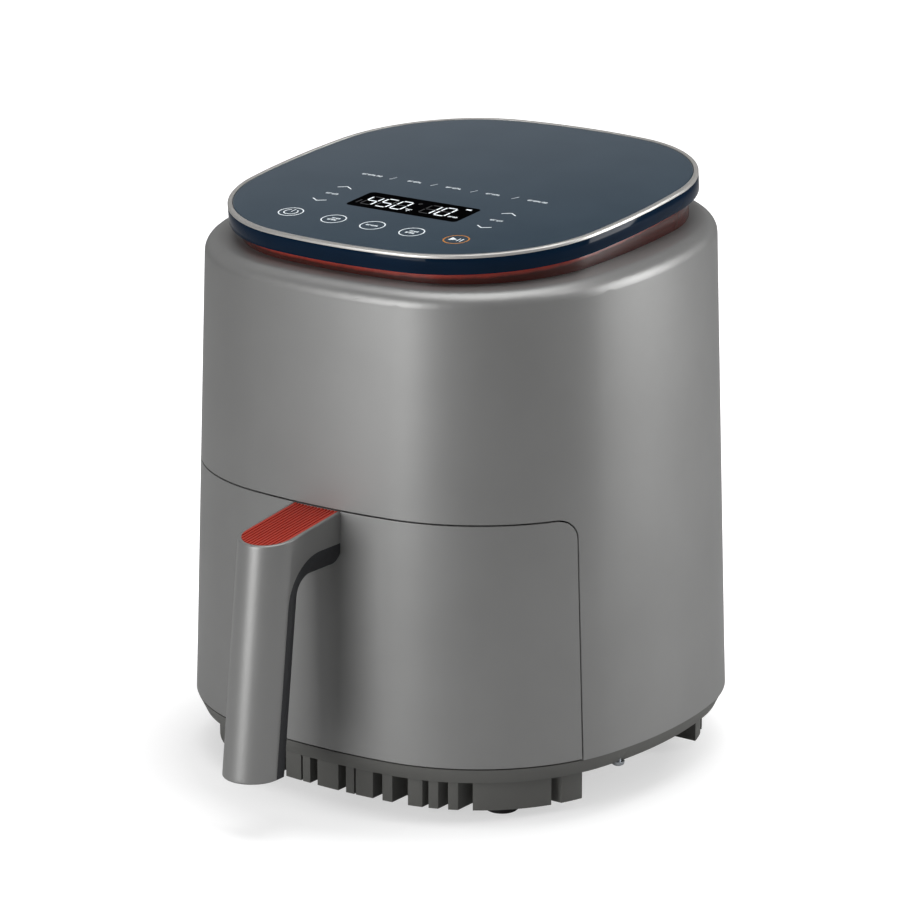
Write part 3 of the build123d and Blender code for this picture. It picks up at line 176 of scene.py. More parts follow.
# Base: a darker, warmer and rougher grey that sets the casing off from the floor.
base_pp = textured("textured_base_polypropylene", ("#5f5f5c", "#646461"), 0.48, 0.5, 0.01)
# Opening's trim, runners, duct and cooling fan: near black with a coarse, slightly shiny skin.
dark_nylon = textured("black_glass_filled_nylon", ("#1f1f21", "#252527"), 0.48, 0.8, 0.02)
# Handle's inner strip: a soft charcoal that takes almost no highlight.
liner_abs = textured("charcoal_soft_touch_abs", ("#1e1f22", "#222326"), 0.5, 0.5, 0.015)
# Handle's inlay: the one warm accent on the front.
inlay_red = textured("matt_red_moulding", ("#a8301f", "#b23423"), 0.42, 0.4, 0.01)
# Feet: dull black, so that the base seems to float.
foot_rubber = textured("black_rubber", ("#161616", "#1c1c1c"), 0.70, 0.6, 0.03)
# Plate's feet: black with a little more shine than rubber.
silicone = textured("black_silicone", ("#1b1b1d", "#212123"), 0.55, 1.0, 0.02)
# Small electric parts: a clean off-white against the metal.
white_nylon = textured("white_nylon", ("#d9d8d2", "#e4e3dd"), 0.45, 0.8, 0.02)
# Heater's insulators: a warmer white with a fired, grainy skin.
steatite = textured("white_steatite", ("#dcd7c8", "#e6e2d5"), 0.55, 1.2, 0.03, ior=1.6)

# %% [markdown]
# ## The lid's measures
# The lid is a rounded square whose four sides bow outwards. Its plane rises to the rear, and its centre comes from the
# CAD box of the rim. The finishes need its tilt, and the pieces further on need all of it.

# %% Lid measures
LID_HALF_X, LID_HALF_Y, LID_DIAGONAL, LID_CORNER = 106.6, 108.2, 0.775, 77.0
LID_TILT = radians(5.2)
LID_NORMAL = Vector((0, -sin(LID_TILT), cos(LID_TILT)))
RIM_WIDTH, RIM_HEIGHT, BAND_HEIGHT = 2.4, 1.6, 9.8
GLASS_INSET, GLASS_SINK, GLASS_THICKNESS = 2.55, 0.35, 2.2
RING_STEPS = 320
rim_low, rim_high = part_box("rim_trim")
rim_middle_y = (rim_low.y + rim_high.y) / 2 / MM
LID_CENTRE = Vector((0.0, rim_middle_y - RIM_HEIGHT / 2 * sin(LID_TILT), rim_high.z / MM - LID_HALF_Y * sin(LID_TILT)))
print("lid centre", [round(v, 1) for v in LID_CENTRE])

# %% [markdown]
# ## Finishes of the lid
# The glass is printed on its back, so its colour lies under a perfectly smooth surface: a dark slate base with a full
# clear gloss. The band round it is high-gloss navy ABS, the rim is a satin metallised trim, and the ring under the lid
# is a little translucent red acrylic whose colour carries painted light and shade: bright red just under the band, dark
# brown lower down.


# %% Lid finishes
# The ring's upper edge, as a height along the lid's normal, and the depths under it where the red's painted light, just
# under the band, fades to painted shade.
RING_TOP = (LID_CENTRE.dot(LID_NORMAL) - BAND_HEIGHT) * MM
RING_PAINTED_SHADE_DEPTH, RING_PAINTED_LIGHT_DEPTH, RING_RIPPLE = 3.4 * MM, 0.8 * MM, 1.2 * MM


def printed_glass():
    """Back-printed tempered glass: even slate colour, mirror-smooth, with the ink's faint mottle under it."""
    made, tree, shader = material("back_printed_slate_glass", roughness=0.03, ior=1.4)
    surface(tree, shader, pattern(tree, 25.0), ("#33424e", "#364551"))
    return made


def gloss_navy():
    """High-gloss ABS: deep colour, sharp reflections, and the slight waviness that a moulding has."""
    made, tree, shader = material("high_gloss_navy_abs", roughness=0.06, ior=1.16)
    waves = pattern(tree, 14.0, 1.0)
    surface(tree, shader, pattern(tree, 30.0), ("#0a1c2e", "#0c1f33"), relief=waves, depth_mm=0.01)
    return made


def metallised_trim():
    """Satin metallised plastic: a soft metal reflection with fine lines round it."""
    made, tree, shader = material("satin_metallised_trim", metallic=0.7)
    lines = pattern(tree, 0.5, 2.0, (1, 1, 6))
    codes = ("#c6c4c0", "#d2d0cc")
    surface(tree, shader, lines, codes, gloss=lines, roughness=(0.30, 0.40), relief=lines, depth_mm=0.004)
    return made


def red_acrylic():
    """Translucent red acrylic: light enters it and comes back softened; its colour is painted light and shade, bright
    just under the band and dark lower down.
    """
    made, tree, shader = material(
        "translucent_red_acrylic_painted_light_and_shade", roughness=0.22, ior=1.49, subsurface_weight=0.35, subsurface_scale=0.004
    )
    shader.inputs["Subsurface Radius"].default_value = (1.0, 0.25, 0.2)
    place = node(tree, "ShaderNodeTexCoord").outputs["Object"]
    height = node(tree, "ShaderNodeVectorMath", {0: place, 1: LID_NORMAL}, operation="DOT_PRODUCT")
    ripple = pattern(tree, 6.0)
    uneven = node(
        tree, "ShaderNodeMath", {0: ripple, 1: RING_RIPPLE, 2: height.outputs["Value"]}, operation="MULTIPLY_ADD"
    )
    # Painted light and shade: the red is bright within 0.8 mm of the ring's top, just under the band, and fades to dark
    # brown 3.4 mm down.
    edge = node(
        tree, "ShaderNodeMapRange",
        {"Value": uneven.outputs["Value"], "From Min": RING_TOP - RING_PAINTED_SHADE_DEPTH, "From Max": RING_TOP - RING_PAINTED_LIGHT_DEPTH},
    )
    codes = ("#4a2420", "#c8402e")
    surface(tree, shader, edge.outputs["Result"], codes, (0.0, 1.0), relief=ripple, depth_mm=0.01)
    return made


def display_black():
    """The display's window: a black mask that gives back almost no light."""
    made, tree, shader = material("display_mask_black", roughness=0.6, ior=1.0)
    surface(tree, shader, pattern(tree, 8.0), ("#030303", "#050506"))
    return made


def lit_segment(name, code, glow):
    """A lit segment, or an unlit segment or screen-printed mark whose small glow is painted light; a little light of
    its own keeps it crisp.
    """
    made, tree, shader = material(name, roughness=0.35, emission_strength=glow)
    surface(tree, shader, pattern(tree, 3.0), (code, code))
    shader.inputs["Emission Color"].default_value = colour(code)
    return made


slate_glass = printed_glass()
navy_abs = gloss_navy()
silver_trim = metallised_trim()
acrylic = red_acrylic()
mask_black = display_black()
# Digits that are on, then segments that are off and barely show, then the two inks of the printed marks; the off
# segments and the inks carry a painted glow, as they are no lamps.
digit_white = lit_segment("lit_white_segments", "#e8eef2", 0.45)
ghost_grey_painted_glow = lit_segment("unlit_segments", "#1d1f21", 0.02)
print_white_painted_glow = lit_segment("white_print_painted_glow", "#dfe5e8", 0.3)
print_orange_painted_glow = lit_segment("orange_print_painted_glow", "#b8752b", 0.12)

# %% [markdown]
# ## Metals
# Inside are pressed sheet steel, bright springs and rivets, a chromed guard, a dull stainless heater and cast
# aluminium under a black non-stick coating. Rolled and drawn metals carry lines along one direction, so their noise is
# stretched; a coating is a dielectric over a smooth casting with tiny pits.


# %% Metals and coatings
def rolled_metal(name, codes, roughness, stretch=(1, 1, 12), line_mm=1.2, depth_mm=0.006):
    """Rolled or drawn metal with fine lines, slightly uneven in gloss."""
    made, tree, shader = material(name, metallic=1.0)
    lines = pattern(tree, line_mm, 3.0, stretch)
    wear, spread = pattern(tree, 20.0), (roughness - 0.05, roughness + 0.07)
    surface(tree, shader, lines, codes, gloss=wear, roughness=spread, relief=lines, depth_mm=depth_mm)
    return made


def non_stick():
    """Black PTFE coating on aluminium: dark satin with a fine sparkle of mica and tiny pits."""
    made, tree, shader = material("black_non_stick_coating", ior=1.4, coat_weight=0.2, coat_roughness=0.25)
    mica, wear = pattern(tree, 0.6, 4.0), pattern(tree, 15.0)
    codes = ("#1a1a1b", "#2b2b2c")
    surface(tree, shader, mica, codes, (0.45, 0.72), wear, (0.28, 0.40), relief=mica, depth_mm=0.015)
    return made


def heater_sheath():
    """Stainless tube that has been hot: dull straw to blue-grey patches."""
    made, tree, shader = material("heat_tinted_stainless_tube", metallic=1.0)
    tints, wear, scale = pattern(tree, 22.0, 3.0), pattern(tree, 2.0), pattern(tree, 0.8)
    codes = ("#6d5f4e", "#5a5c63")
    surface(tree, shader, tints, codes, gloss=wear, roughness=(0.36, 0.5), relief=scale, depth_mm=0.01)
    return made


def solder_mask():
    """Circuit board: green mask over copper tracks that stand up slightly under it."""
    made, tree, shader = material("green_solder_mask", roughness=0.3, ior=1.5)
    where = node(tree, "ShaderNodeTexCoord").outputs["Object"]
    in_plan = node(tree, "ShaderNodeMapping", {"Vector": where, "Scale": (1, 1, 0)}).outputs["Vector"]
    tracks = node(
        tree, "ShaderNodeTexBrick",
        {"Vector": in_plan, "Scale": 1 / (6 * MM), "Mortar Size": 0.06, "Brick Width": 1.3, "Row Height": 0.4},
    ).outputs["Fac"]
    surface(tree, shader, tracks, ("#0c4a2b", "#1a6a3f"), (0.3, 0.7), relief=tracks, depth_mm=0.03)
    return made


# Chamber walls: a dull silver, which looks darker with depth from the lamps' shade alone.
chamber_steel = rolled_metal("aluminised_sheet_steel", ("#a3a4a2", "#b0b1af"), 0.34)
# Springs, rivets, clips and shaft: small sharp glints.
bright_steel = rolled_metal("bright_spring_steel", ("#b9babb", "#c6c7c8"), 0.22, line_mm=0.8)
# Screws: a slightly blue satin without a direction.
zinc_steel = rolled_metal("zinc_plated_steel", ("#a9adb1", "#b7bbc0"), 0.30, (1, 1, 1), 0.8)
# Motor can: darker lines along its length.
motor_steel = rolled_metal("drawn_motor_can", ("#8f9192", "#9c9e9f"), 0.36)
# Heater guard: the brightest metal, close to a mirror.
chrome_wire = rolled_metal("chromed_wire", ("#cfd0d1", "#d8d9da"), 0.12, (1, 1, 1), 1.5, 0.003)
# Reflector and fans: a light metal that lifts the chamber's ceiling.
bright_aluminium = rolled_metal("bright_rolled_aluminium", ("#d0d1d2", "#dadbdc"), 0.2)
# Bearings and board posts: warm spots of bronze with a porous grain.
sintered_bronze = rolled_metal("sintered_bronze", ("#a5813f", "#b28d48"), 0.38, (1, 1, 1), 0.5, 0.015)
ptfe_black = non_stick()
hot_stainless = heater_sheath()
board_green = solder_mask()

FINISH = {
    "body_grey": casing_paint, "base_grey": base_pp, "dark_plastic": dark_nylon, "liner_charcoal": liner_abs,
    "band_navy": navy_abs, "accent_red": acrylic, "insert_red": inlay_red, "rim_silver": silver_trim,
    "lid_glass": slate_glass, "chamber_steel": chamber_steel, "motor_steel": motor_steel,
    "spring_steel": bright_steel, "screw_steel": zinc_steel, "element_steel": hot_stainless,
    "guard_chrome": chrome_wire, "reflector_aluminium": bright_aluminium, "fan_aluminium": bright_aluminium,
    "bearing_brass": sintered_bronze, "insulator_ceramic": steatite, "basket_coating": ptfe_black,
    "foot_rubber": foot_rubber, "plate_silicone": silicone, "board_green": board_green,
    "white_plastic": white_nylon,
}
for name, piece in frame["nodes"].items():
    piece.data.materials.clear()
    piece.data.materials.append(FINISH[slot_of_node[name]])
print("finishes:", len(FINISH))

# %% [markdown]
# ## A softened copy of a CAD piece
# A CAD mesh has razor-sharp edges and loose triangles. A moulded or pressed part never has: its edges are rounded by
# the tool. So a piece that shows is copied, its doubles are merged, flat faces are joined back together, and a small
# bevel goes along every edge that turns more than an angle. The real edge radius is a few tenths of a millimetre.


# %% Softened copies
def finished(mesh_or_bmesh, name, finish, body, slot, *stands_for):
    """Makes an object from a mesh in place, riding on a body and standing for CAD nodes."""
    mesh = mesh_or_bmesh
    if isinstance(mesh_or_bmesh, bmesh.types.BMesh):
        mesh = bpy.data.meshes.new(name)
        mesh_or_bmesh.to_mesh(mesh)
        mesh_or_bmesh.free()
    mesh.materials.clear()
    mesh.materials.append(finish)
    piece = bpy.data.objects.new(name, mesh)
    bpy.context.scene.collection.objects.link(piece)
    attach(piece, body)
    if stands_for:
        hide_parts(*stands_for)
    return piece


def applied(piece):
    """Turns a piece's modifiers into its mesh."""
    bpy.context.view_layer.update()
    graph = bpy.context.evaluated_depsgraph_get()
    mesh = bpy.data.meshes.new_from_object(piece.evaluated_get(graph))
    piece.modifiers.clear()
    piece.data = mesh
    return piece


def smooth_by_angle(mesh, angle=30.0):
    """Smooth shading, with edges that turn more than an angle kept sharp."""
    mesh.polygons.foreach_set("use_smooth", [True] * len(mesh.polygons))
    work = bmesh.new()
    work.from_mesh(mesh)
    for edge in work.edges:
        edge.smooth = not edge.is_manifold or edge.calc_face_angle(0.0) < radians(angle)
    work.to_mesh(mesh)
    work.free()


MERGE_MM, SLIVER_MM, BEVEL_SEGMENTS, BEVEL_TURN = 0.002, 0.004, 2, 38.0


def softened(cad_node, radius_mm, flat=0.6):
    """A merged copy of a CAD node with its edges rounded; it stands for the node."""
    work = bmesh.new()
    work.from_mesh(frame["nodes"][cad_node].data)
    bmesh.ops.remove_doubles(work, verts=work.verts, dist=MERGE_MM * MM)
    bmesh.ops.dissolve_degenerate(work, edges=work.edges, dist=SLIVER_MM * MM)
    bmesh.ops.dissolve_limit(
        work, angle_limit=radians(flat), verts=work.verts, edges=work.edges, delimit={"NORMAL"}
    )
    slot = slot_of_node[cad_node]
    piece = finished(work, cad_node + "_skin", FINISH[slot], body_of_node[cad_node], slot, cad_node)
    round_edges = piece.modifiers.new("round_edges", "BEVEL")
    round_edges.width = radius_mm * MM
    round_edges.segments = BEVEL_SEGMENTS
    round_edges.limit_method = "ANGLE"
    round_edges.angle_limit = radians(BEVEL_TURN)
    round_edges.use_clamp_overlap = True
    applied(piece)
    smooth_by_angle(piece.data)
    return piece


# %% [markdown]
# ## True normals on the casing
# A facetted wall gives a satin reflection faint vertical stripes, even when it is shaded smooth. The casing's outline
# is made of circular arcs, so the true direction of its wall is known at every point: away from the centre of the arc
# that the point is on. Those directions are given to the mesh as custom normals, and the stripes go.

# %% Arc centres and wall normals
BODY_HALF_X, BODY_HALF_Y, BODY_DIAGONAL, BODY_CORNER = 127.7, 124.2, 0.760, 95.1
BODY_DRAFT = radians(1.87)
body_middle = sum(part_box("outer_shell"), Vector()) / 2


def arc_rule(half_x, half_y, diagonal, corner):
    """Corner centre, centre offsets of the two long arcs, and the angles where they meet the corner."""
    centre_x = diagonal * half_x - corner * cos(pi / 4)
    centre_y = diagonal * half_y - corner * cos(pi / 4)

    def bow(reach, offset):
        return (corner**2 - reach**2 - offset**2) / (2 * (corner - reach))

    bow_x, bow_y = bow(half_x - centre_x, centre_y), bow(half_y - centre_y, centre_x)
    side_end = atan2(centre_y, centre_x - half_x + bow_x)
    turn_end = atan2(centre_y - half_y + bow_y, centre_x)
    return centre_x, centre_y, bow_x, bow_y, side_end, turn_end


BODY_ARCS = arc_rule(BODY_HALF_X, BODY_HALF_Y, BODY_DIAGONAL, BODY_CORNER)


def wall_normal(point):
    """Outward direction of the casing's wall at a point, in the frame's axes."""
    centre_x, centre_y, bow_x, bow_y, side_end, turn_end = BODY_ARCS
    x, y = abs(point.x - body_middle.x) / MM, abs(point.y - body_middle.y) / MM
    side = (x - (BODY_HALF_X - bow_x), y)
    end = (x, y - (BODY_HALF_Y - bow_y))
    if atan2(side[1], side[0]) < side_end:
        across, along = side
    elif atan2(end[1], end[0]) > turn_end:
        across, along = end
    else:
        across, along = x - centre_x, y - centre_y
    across = across if point.x > body_middle.x else -across
    along = along if point.y > body_middle.y else -along
    flat = Vector((across, along, 0)) / hypot(across, along)
    return flat * cos(BODY_DRAFT) + Vector((0, 0, sin(BODY_DRAFT)))


WALL_AGREEMENT = 0.9985


def true_wall_normals(piece):
    """Custom normals on the faces that lie along the casing's wall; the rest keep their own."""
    mesh = piece.data
    normals = [(0.0, 0.0, 0.0)] * len(mesh.loops)
    kept = 0
    for face in mesh.polygons:
        expected = [wall_normal(mesh.vertices[v].co) for v in face.vertices]
        middle = sum(expected, Vector()).normalized()
        if face.normal.dot(middle) > WALL_AGREEMENT:
            kept += 1
            for loop, direction_here in zip(face.loop_indices, expected):
                normals[loop] = direction_here
    mesh.normals_split_custom_set(normals)
    print(piece.name, kept, "wall faces of", len(mesh.polygons))


# %% Softened casing and base
for cad_node, radius in (
    ("outer_shell", 0.45), ("drawer_front", 0.45), ("base_pan", 0.35), ("rubber_feet", 0.4), ("handle_shell", 0.25),
    ("handle_liner", 0.3), ("rear_vent", 0.3), ("cord_gland", 0.3), ("basket", 0.3),
):
    piece = softened(cad_node, radius, flat=0.05)
    print(piece.name, len(piece.data.vertices), "vertices")
    if cad_node in ("outer_shell", "drawer_front"):
        true_wall_normals(piece)

# %% [markdown]
# ## The lid's outline
# The outline is four long arcs and four tight ones, all tangent. The same rule with a smaller inset gives the rim and
# the glass, so they stay parallel all the way round.

# %% Outline and sweep
LID_ARCS = arc_rule(LID_HALF_X, LID_HALF_Y, LID_DIAGONAL, LID_CORNER)


def lid_outline(inset):
    """Points round the lid's bowed square, drawn in by an inset, in millimetres."""
    centre_x, centre_y, bow_x, bow_y, side_end, turn_end = LID_ARCS
    points = []
    for step in range(RING_STEPS):
        angle = 2 * pi * step / RING_STEPS
        across, along = abs(cos(angle)), abs(sin(angle))
        normal = atan2(along, across)
        if normal < side_end:
            x, y = LID_HALF_X - bow_x + (bow_x - inset) * across, (bow_x - inset) * along
        elif normal < turn_end:
            x, y = centre_x + (LID_CORNER - inset) * across, centre_y + (LID_CORNER - inset) * along
        else:
            x, y = (bow_y - inset) * across, LID_HALF_Y - bow_y + (bow_y - inset) * along
        points.append((x if cos(angle) >= 0 else -x, y if sin(angle) >= 0 else -y))
    return points


def on_lid(x, y, height=0.0):
    """Place in metres of a point on the lid's plane, raised along its normal."""
    in_plane = Vector((x, y * cos(LID_TILT), y * sin(LID_TILT)))
    return (in_plane + height * LID_NORMAL + LID_CENTRE) * MM


def lid_rings(profile, capped=False):
    """Sweeps (inset, height) pairs round the lid's outline; the section closes on itself, or both ends are capped."""
    work = bmesh.new()
    rings = []
    for inset, height in profile:
        rings.append([work.verts.new(on_lid(x, y, height)) for x, y in lid_outline(inset)])
    pairs = list(zip(rings, rings[1:])) + ([] if capped else [(rings[-1], rings[0])])
    for first, second in pairs:
        for i in range(RING_STEPS):
            j = (i + 1) % RING_STEPS
            work.faces.new((first[i], first[j], second[j], second[i]))
    if capped:
        work.faces.new(rings[-1])
        work.faces.new(list(reversed(rings[0])))
    bmesh.ops.recalc_face_normals(work, faces=work.faces)
    return work


# %% [markdown]
# ## Rim, glass, band and ring
# The rim and the glass are each one section carried round the outline; the band and the ring are softened copies of
# their CAD pieces. The rim's section has a flat top and a bright chamfer along its outer edge. The glass has a ground
# edge, so a thin dark joint shows between it and the rim. The ring under the lid stands on the shoulder, which tilts
# less than the lid, so it is taller at the rear: the CAD piece has that cut already.

# %% Swept lid pieces
RIM_SECTION = (
    (0.0, -RIM_HEIGHT), (0.0, -0.75), (0.12, -0.45), (0.55, -0.04), (0.75, 0.0), (2.05, 0.0), (2.3, -0.1),
    (RIM_WIDTH, -0.3), (RIM_WIDTH, -RIM_HEIGHT),
)
rim = finished(lid_rings(RIM_SECTION), "lid_rim", silver_trim, "housing", "rim_silver", "rim_trim")
glass_top = -GLASS_SINK
GLASS_SECTION = (
    (GLASS_INSET, glass_top - GLASS_THICKNESS), (GLASS_INSET, glass_top - 0.45), (GLASS_INSET + 0.15, glass_top - 0.12),
    (GLASS_INSET + 0.5, glass_top), (GLASS_INSET + 0.6, glass_top),
)
glass = finished(lid_rings(GLASS_SECTION, True), "lid_glass", slate_glass, "housing", "lid_glass", "glass_panel")
for piece in (rim, glass):
    smooth_by_angle(piece.data, 25.0)
    print(piece.name, len(piece.data.polygons), "faces")
softened("control_housing", 0.7)
softened("accent_ring", 0.2)

# %% [markdown]
# ## Marks printed behind the glass
# The keys are rings and short strokes, and the display is a black window with slanted digits, some lit and the rest
# faintly visible. A print is flat, so each mark is a thin polygon laid a few hundredths of a millimetre over the
# glass. Strokes stand for the words of a real panel, and the two numbers are plain digits.


# %% Drawing helpers
class Print:
    """Collects flat shapes on the glass, in lid-plane millimetres, and makes one piece of them."""

    def __init__(self, height):
        self.work, self.height = bmesh.new(), height

    def polygon(self, points):
        self.work.faces.new([self.work.verts.new(on_lid(x, y, self.height)) for x, y in points])

    def stroke(self, x0, y0, x1, y1, width):
        """Bar from point to point with cut ends."""
        length = hypot(x1 - x0, y1 - y0)
        side_x, side_y = -(y1 - y0) / length * width / 2, (x1 - x0) / length * width / 2
        right = ((x0 - side_x, y0 - side_y), (x1 - side_x, y1 - side_y))
        self.polygon(right + ((x1 + side_x, y1 + side_y), (x0 + side_x, y0 + side_y)))

    def arc(self, x, y, radius, width, start=0.0, end=360.0, steps=48):
        """Band along a circle."""
        for step in range(steps):
            a, b = (radians(start + (end - start) * (step + k) / steps) for k in (0, 1))
            inner, outer = radius - width / 2, radius + width / 2
            corners = ((inner, a), (outer, a), (outer, b), (inner, b))
            self.polygon([(x + r * cos(t), y + r * sin(t)) for r, t in corners])

    def window(self, x, y, half_x, half_y, radius, steps=8):
        """Rectangle with round corners."""
        points = []
        for side_x, side_y, start in ((1, 1, 0), (-1, 1, 90), (-1, -1, 180), (1, -1, 270)):
            centre_x, centre_y = x + side_x * (half_x - radius), y + side_y * (half_y - radius)
            for step in range(steps + 1):
                turn = radians(start + 90 * step / steps)
                points.append((centre_x + radius * cos(turn), centre_y + radius * sin(turn)))
        self.polygon(points)

    def word(self, x, y, width, height, letters):
        """A row of small upright strokes that reads as fine print from a distance and says nothing."""
        pitch = width / letters
        for i in range(letters):
            left = x - width / 2 + (i + 0.18) * pitch
            self.stroke(left, y - height / 2, left + 0.12 * height, y + height / 2, 0.42)
            bar_y = y + height * (0.42 if i % 2 else -0.42)
            self.stroke(left, bar_y, left + pitch * 0.55, bar_y, 0.4)
            if i % 3 != 1:
                self.stroke(left + pitch * 0.55, y - height / 2, left + pitch * 0.6, y + height / 2, 0.4)

    def done(self, name, finish, slot="lid_glass"):
        """Turns every face up and makes the piece."""
        bmesh.ops.recalc_face_normals(self.work, faces=self.work.faces)
        self.work.normal_update()
        turned = [face for face in self.work.faces if face.normal.dot(LID_NORMAL) < 0]
        bmesh.ops.reverse_faces(self.work, faces=turned)
        piece = finished(self.work, name, finish, "housing", slot)
        print(name, len(piece.data.polygons), "faces")
        return piece


SEGMENTS = {"0": "abcdef", "1": "bc", "4": "fgbc", "5": "afgcd"}
DIGIT_WIDTH, DIGIT_HEIGHT, SEGMENT_WIDTH, SEGMENT_GAP, SLANT = 6.2, 12.0, 1.0, 0.55, 0.03


def digit(lit, unlit, numeral, x, y):
    """One slanted seven-segment digit centred at a point."""
    half_w, half_h = DIGIT_WIDTH / 2, DIGIT_HEIGHT / 2
    ends = {
        "a": ((-half_w, half_h), (half_w, half_h)), "g": ((-half_w, 0), (half_w, 0)),
        "d": ((-half_w, -half_h), (half_w, -half_h)),
        "f": ((-half_w, half_h), (-half_w, 0)), "b": ((half_w, half_h), (half_w, 0)),
        "e": ((-half_w, 0), (-half_w, -half_h)), "c": ((half_w, 0), (half_w, -half_h)),
    }
    for letter, ((x0, y0), (x1, y1)) in ends.items():
        length = hypot(x1 - x0, y1 - y0)
        trim_x, trim_y = (x1 - x0) / length * SEGMENT_GAP, (y1 - y0) / length * SEGMENT_GAP
        x0, y0, x1, y1 = x0 + trim_x, y0 + trim_y, x1 - trim_x, y1 - trim_y
        target = lit if letter in SEGMENTS[numeral] else unlit
        target.stroke(x + x0 + SLANT * y0, y + y0, x + x1 + SLANT * y1, y + y1, SEGMENT_WIDTH)


# %% Keys, marks and display
# Prints lie a hair over the glass, and those on the display a hair over its window.
ON_GLASS = glass_top + 0.012
white, orange, mask = Print(ON_GLASS), Print(ON_GLASS), Print(ON_GLASS)
lit, unlit = Print(ON_GLASS + 0.02), Print(ON_GLASS + 0.01)
KEY_Y, KEY_RADIUS, KEY_X = -75.5, 6.2, (-50.0, -23.6, 0.0, 23.6)
for x in KEY_X:
    white.arc(x, KEY_Y, KEY_RADIUS, 0.6)
white.arc(KEY_X[0], KEY_Y, 3.5, 0.6, 120, 420)
white.stroke(KEY_X[0], KEY_Y + 0.3, KEY_X[0], KEY_Y + 4.2, 0.5)
for x in (KEY_X[1], KEY_X[3]):
    white.word(x + 0.6, KEY_Y + 1.2, 5.0, 1.5, 4)
    white.word(x, KEY_Y - 1.3, 5.6, 1.5, 5)
white.word(KEY_X[2], KEY_Y, 7.6, 1.5, 5)
orange.arc(50.0, KEY_Y, KEY_RADIUS, 0.75)
white.polygon(((46.6, KEY_Y - 2.2), (50.4, KEY_Y), (46.6, KEY_Y + 2.2)))
for x in (51.4, 53.2):
    white.stroke(x, KEY_Y - 2.0, x, KEY_Y + 2.0, 0.6)
for side in (-1, 1):
    for y, way in ((-30.8, 1), (-53.5, -1)):
        for half in (-1, 1):
            white.stroke(side * 50.0 + half * 4.2, y - way * 1.3, side * 50.0 - half * 0.2, y + way * 1.5, 0.65)
    white.word(side * 50.0, -42.2, 7.4, 1.7, 4)
for x, width, letters in ((-50.5, 12.4, 7), (-24.0, 8.6, 5), (0.0, 9.6, 5), (24.0, 8.8, 5), (50.5, 11.6, 7)):
    white.word(x, -8.0, width, 1.7, letters)
for x in (-37.6, -12.2, 12.2, 37.0):
    white.stroke(x - 1.0, -9.9, x + 1.0, -6.1, 0.3)
mask.window(0.0, -42.3, 33.6, 11.4, 2.6)
for numeral, x in zip("450", (-24.4, -15.4, -6.5)):
    digit(lit, unlit, numeral, x, -43.0)
for numeral, x in zip("10", (10.4, 19.5)):
    digit(lit, unlit, numeral, x, -42.0)
unlit.stroke(-30.4, -48.6, -30.2, -43.6, 1.0)
unlit.arc(0.7, -37.0, 0.8, 0.8, steps=12)
lit.arc(-0.6, -46.6, 0.5, 0.4, steps=10)
lit.stroke(0.8, -49.4, 1.0, -46.2, 0.5)
lit.stroke(0.9, -46.4, 2.6, -46.4, 0.45)
lit.stroke(0.9, -48.0, 2.2, -48.0, 0.4)
lit.word(27.4, -47.2, 5.4, 1.7, 4)
lit.stroke(26.4, -34.4, 29.6, -34.4, 1.4)
white.done("panel_marks", print_white_painted_glow, "lid_glass")
orange.done("start_key_ring", print_orange_painted_glow, "lid_glass")
mask.done("display_window", mask_black, "lid_glass")
lit.done("lit_digits", digit_white, "lid_glass")
unlit.done("unlit_segments", ghost_grey_painted_glow, "lid_glass")

# %% [markdown]
# ## Screws with Geometry Nodes
# A screw is the same shape many times, so it is modelled once and instanced on a point for every screw of the CAD
# model. The points and the lengths come from the CAD solids themselves. The tree ends by realizing the instances and
# setting the material, because an export keeps only real meshes.


# %% Geometry Nodes helpers
def geometry_tree(name, inputs):
    """An empty tree with a mesh input, a mesh output and named number inputs with their values."""
    tree = bpy.data.node_groups.new(name, "GeometryNodeTree")
    tree.interface.new_socket("Geometry", in_out="INPUT", socket_type="NodeSocketGeometry")
    identifiers = {}
    for label, value in inputs.items():
        socket = tree.interface.new_socket(label, in_out="INPUT", socket_type="NodeSocketFloat")
        socket.default_value = value
        identifiers[label] = socket.identifier
    tree.interface.new_socket("Geometry", in_out="OUTPUT", socket_type="NodeSocketGeometry")
    return tree, tree.nodes.new("NodeGroupInput"), tree.nodes.new("NodeGroupOutput"), identifiers


def grown(name, points, tree, identifiers, values, finish, body, slot, *stands_for):
    """Runs a tree on a set of points, keeps the result as a plain mesh and lets it ride on a body."""
    seed = bpy.data.meshes.new(name)
    seed.from_pydata([tuple(p) for p in points], [], [])
    piece = finished(seed, name, finish, body, slot)
    grow = piece.modifiers.new("grow", "NODES")
    grow.node_group = tree
    for label, value in values.items():
        grow[identifiers[label]] = value
    applied(piece)
    if stands_for:
        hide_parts(*stands_for)
    smooth_by_angle(piece.data)
    print(name, len(piece.data.polygons), "faces")
    return piece


def solids_of(cad_node):
    """Boxes of the separate solids in a CAD node."""
    work = bmesh.new()
    work.from_mesh(frame["nodes"][cad_node].data)
    bmesh.ops.remove_doubles(work, verts=work.verts, dist=0.005 * MM)
    boxes, seen_verts = [], set()
    for start in work.verts:
        if start in seen_verts:
            continue
        island, front = [], [start]
        seen_verts.add(start)
        while front:
            vert = front.pop()
            island.append(vert.co.copy())
            for edge in vert.link_edges:
                other = edge.other_vert(vert)
                if other not in seen_verts:
                    seen_verts.add(other)
                    front.append(other)
        low = Vector(min(p[k] for p in island) for k in range(3))
        high = Vector(max(p[k] for p in island) for k in range(3))
        boxes.append((low, high))
    work.free()
    return boxes


# %% Screw heads
HEAD_RADIUS, HEAD_HEIGHT, HEAD_SIDES = 3.2, 2.2, 32
RECESS_REACH, RECESS_HALF, RECESS_DEPTH, RECESS_TAPER = 1.7, 0.42, 1.3, 0.6


